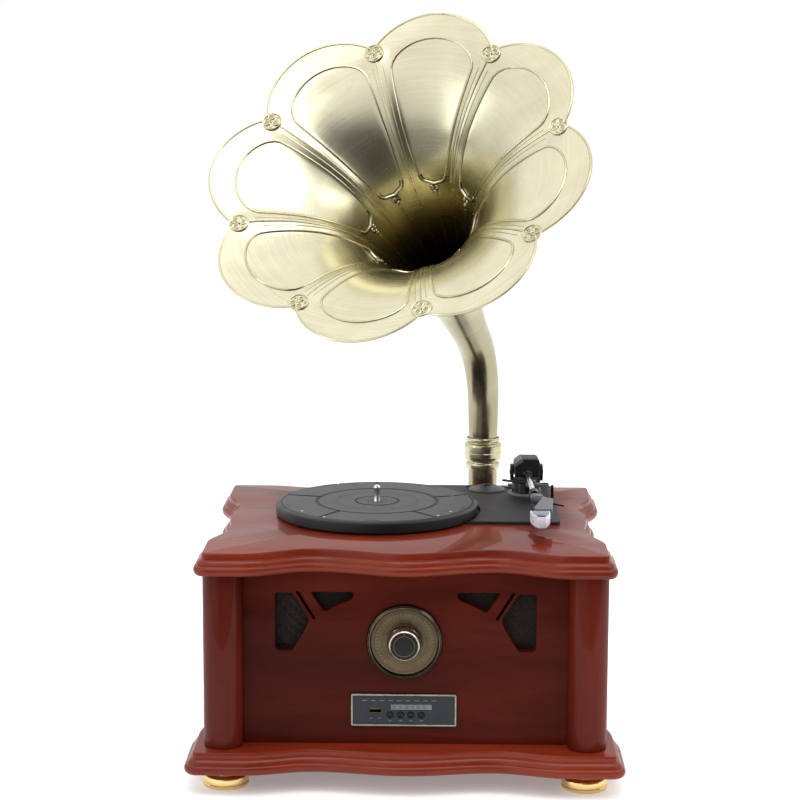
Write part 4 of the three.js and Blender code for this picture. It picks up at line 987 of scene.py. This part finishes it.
def rosette(angle):
    """A round boss over the notch between two petals, with a ringed edge, a stud and three scrolls on it.
    Returns the scrolls with the stud, the boss, and dark discs in and between the scrolls, painted shade of the
    boss's hollows."""
    here = on_sheet(angle, MOUTH_RADIUS - 5)
    face = here @ at(0, 0, 0.8)
    boss = [moved(turned([(0, -0.6), (9.2, -0.6), (9.2, 0.1), (8.6, 0.7), (0, 0.9)], 40), here)]
    stud = turned([(0, 0.6), (1.7, 0.6), (1.6, 1.6), (0.9, 2.2), (0, 2.4)], 16)
    scrolls = [torus(face, 9.0, 0.75, 40, 8), moved(stud, here @ at(0, -0.4, 0))]
    shade_discs = []
    for degrees, size in ((38, 2.9), (142, 2.9), (270, 2.6)):
        spot = face @ at(*polar(4.7, degrees)) @ at(0, 0.4, 0)
        scrolls.append(torus(spot, size, 0.95, 24, 8))
        # Painted shade: a dark disc inside each scroll.
        shade_discs.append(moved(turned([(0, -0.2), (size, -0.2), (size, 0.25), (0, 0.3)], 20), spot))
    # Painted shade: small dark discs between the scrolls.
    for degrees in (90, 205, 335):
        small_shade_disc = turned([(0, -0.2), (1.3, -0.2), (1.3, 0.2), (0, 0.25)], 14)
        shade_discs.append(moved(small_shade_disc, face @ at(*polar(6.9, degrees))))
    return scrolls, boss, shade_discs


def ribbon(path, half, lift):
    """A thin strip laid on the bell along a path of (angle, radius), its middle line lifted off the sheet."""
    middles = bell_path(path, lift)
    rows = []
    for i, (angle, radius) in enumerate(path):
        off = on_sheet(angle, radius).to_3x3().col[2]
        ahead = middles[min(i + 1, len(path) - 1)] - middles[max(i - 1, 0)]
        side = ahead.cross(off).normalized() * half
        top, bottom = middles[i], middles[i] - off * 0.7
        rows.append([top + side, top - side, bottom - side, bottom + side])
    return grid(rows)


def bracket_curl(middle):
    """The foot of a petal's field: a curled bracket with a trefoil at its middle.
    Returns curls and the dark strips and disc laid under them, painted shadow on the sheet."""
    curls, shadow_strips = [], []
    for side in (-1, 1):
        path = [(13.1, 58), (12.3, 56.3), (10.6, 55.1), (8.4, 54.5), (6, 54.2), (3.4, 53.8), (0, 53.4)]
        points = [(middle + side * rad(a), r) for a, r in path]
        curls.append(wire(bell_path(points, 0.8), [1.0, 1.45, 1.65, 1.6, 1.5, 1.5, 1.5], 10))
        # Painted shadow: a dark strip under each curl.
        shadow_strips.append(ribbon(points, 2.2, 0.3))
        curls.append(torus(on_sheet(middle + side * rad(2.7), 51.6, 1.0), 1.5, 0.9, 18, 8))
    curls.append(torus(on_sheet(middle, 49.4, 1.0), 1.6, 0.9, 18, 8))
    # Painted shadow: a dark disc under the trefoil.
    shadow_strips.append(moved(turned([(0, -0.5), (4.9, -0.5), (4.6, 0.3), (0, 0.4)], 28), on_sheet(middle, 51.2)))
    return curls, shadow_strips


def inward_line(angle, start, step, count, lift, thickness, thinning, sides):
    """A raised line that runs inwards along the bell from a radius, thinning as it goes."""
    path = bell_path([(angle, start - step * i) for i in range(count)], lift)
    return wire(path, [thickness - thinning * i for i in range(count)], sides)


raised, fine_lines, ornaments, bosses, rosette_shade_discs, curl_shadow_strips = [], [], [], [], [], []
for k in range(PETALS):
    middle = pi / 2 + 2 * HALF * k
    notch = middle + HALF
    raised += [wire(bell_path(petal_loop(middle), 0.15), 1.15, 8),
               inward_line(notch, 150, 2.5, 39, 0.05, 1.0, 0.012, 8)]
    fine_lines += [inward_line(notch + rad(offset), 142, 3, 30, 0.0, 0.5, 0, 6) for offset in (-2.1, 2.1)]
    fine_lines += [inward_line(notch, 52, 1, 30, 0.0, 0.6, 0.01, 6),
                   inward_line(middle, 47, 1, 25, 0.0, 0.6, 0.012, 6)]
    scrolls, boss, shade_discs = rosette(notch)
    curls, shadow_strips = bracket_curl(middle)
    ornaments += scrolls + curls
    bosses += boss
    rosette_shade_discs += shade_discs
    curl_shadow_strips += shadow_strips
rim = [on_bell(angle, edge_radius(angle) - 1.1, -0.7) for angle in side_angles]
for name, shapes, look in (
        ("bell_raised_lines", raised, antique_brass), ("bell_fine_lines", fine_lines, antique_brass),
        ("bell_ornaments", ornaments, antique_brass), ("bell_bosses", bosses, antique_brass),
        ("rosette_painted_shade", rosette_shade_discs, aged_brass), ("bell_painted_curl_shadows", curl_shadow_strips, painted_curl_shadow),
        ("bell_rolled_rim", [wire(rim, 1.35, 10, True)], antique_brass)):
    build(name, shapes, look, (), "horn")

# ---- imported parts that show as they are
KEPT = {
    "speaker_grille_left": speaker_cloth, "speaker_grille_right": speaker_cloth,
    "speaker_driver_left": dark_metal, "speaker_driver_right": dark_metal, "knob_shaft": bright_steel,
    "rotary_control": grey_plastic, "usb_socket": dark_metal, "control_board": circuit_board,
    "platter_bearing": bright_steel, "motor_pulley": polished_brass, "motor": bright_steel,
    "drive_belt": belt_rubber, "rear_port_plate": black_plastic, "power_switch": gloss_black,
}
for name, look in KEPT.items():
    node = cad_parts[name]
    node.data.materials.clear()
    node.data.materials.append(look)
    bevel = node.modifiers.new("edge", "BEVEL")
    bevel.width = 0.0003
    bevel.segments = 2
    bevel.limit_method = "ANGLE"
    bevel.angle_limit = rad(50)


# ---- floor and light
def stage_floor():
    look = Look("studio_floor")
    tone = look.noise(0.5, (1, 1, 1), 3.0, 0.5)
    colour = look.ramp(tone, [(0.3, (0.9, 0.9, 0.9)), (0.7, (0.93, 0.93, 0.93))])
    look.set(Base_Color=colour, Roughness=0.6, Emission_Color=colour, Emission_Strength=0.25)
    mesh = bpy.data.meshes.new("studio_floor")
    mesh.from_pydata([(-6, -0.72, 0), (6, -0.72, 0), (6, 9, 0), (-6, 9, 0)], [], [(0, 1, 2, 3)])
    mesh.materials.append(look.material)
    floor = bpy.data.objects.new("studio_floor", mesh)
    bpy.context.scene.collection.objects.link(floor)


def light_world():
    """Soft light, bright from above and paler behind the object than in front, with a few dark patches
    low down for the metal to reflect. The camera itself sees a plain white backdrop."""
    world = bpy.data.worlds.new("studio")
    bpy.context.scene.world = world
    world.use_nodes = True
    sky = Graph(world.node_tree)
    way = sky.add("SeparateXYZ", Vector=sky.place["Generated"]).outputs

    def tones(*stops):
        """Greys by the height of the direction, from -1 straight down to 1 straight up."""
        height = sky.span(way["Z"], 0, 1, -1, 1)
        return sky.ramp(height, [((level + 1) / 2, (tone,) * 3) for level, tone in stops])

    def lobe(azimuth, elevation, wide, narrow):
        """1 in a patch of sky about a direction, 0 outside it."""
        dot = sky.add("VectorMath", {"operation": "DOT_PRODUCT"})
        sky.feed(dot.inputs[0], sky.place["Generated"])
        sky.feed(dot.inputs[1], towards(azimuth, elevation))
        return sky.span(dot.outputs["Value"], 0, 1, cos(rad(wide)), cos(rad(narrow)), "SMOOTHSTEP")

    front = tones((-0.55, 0.16), (-0.2, 0.28), (-0.03, 0.5), (0.12, 0.76), (0.45, 0.8), (0.75, 1.0),
                  (0.97, 0.96))
    behind = tones((-0.1, 0.62), (0.3, 0.66), (0.6, 1.0), (0.97, 0.98))
    colour = sky.blend(sky.span(way["Y"], 0, 1, -0.1, 0.25, "SMOOTHSTEP"), front, behind)
    for patch, tone in (((50, 6, 30, 12), 0.2), ((20, 30, 22, 9), 0.16), ((13, 0, 36, 17), 0.06),
                        ((180, 12, 8, 3), 0.2)):
        colour = sky.blend(lobe(*patch), colour, (tone,) * 3)
    lit = sky.nodes["Background"]
    sky.feed(lit.inputs["Color"], colour)
    sky.feed(lit.inputs["Strength"], 1.5)
    backdrop = sky.add("Background", Color=(1, 1, 1))
    seen = sky.add("MixShader", Fac=sky.add("LightPath").outputs["Is Camera Ray"])
    sky.feed(seen.inputs[1], lit.outputs["Background"])
    sky.feed(seen.inputs[2], backdrop.outputs["Background"])
    sky.feed(sky.nodes["World Output"].inputs["Surface"], seen.outputs["Shader"])


def softbox(name, location, target, size, power):
    data = bpy.data.lights.new(name, "AREA")
    data.shape = "RECTANGLE"
    data.size, data.size_y = size
    data.energy = power
    lamp = bpy.data.objects.new(name, data)
    lamp.location = location
    lamp.rotation_euler = (Vector(target) - Vector(location)).to_track_quat("-Z", "Y").to_euler()
    bpy.context.scene.collection.objects.link(lamp)


stage_floor()
light_world()
softbox("top_softbox", (0.12, -0.75, 2.25), (-0.05, 0.0, 0.4), (1.5, 0.9), 11)
softbox("left_softbox", (-2.2, -1.2, 1.0), (0, 0, 0.3), (0.6, 1.5), 5)
softbox("right_softbox", (2.0, -0.9, 1.9), (0, 0, 0.3), (0.6, 1.6), 6)
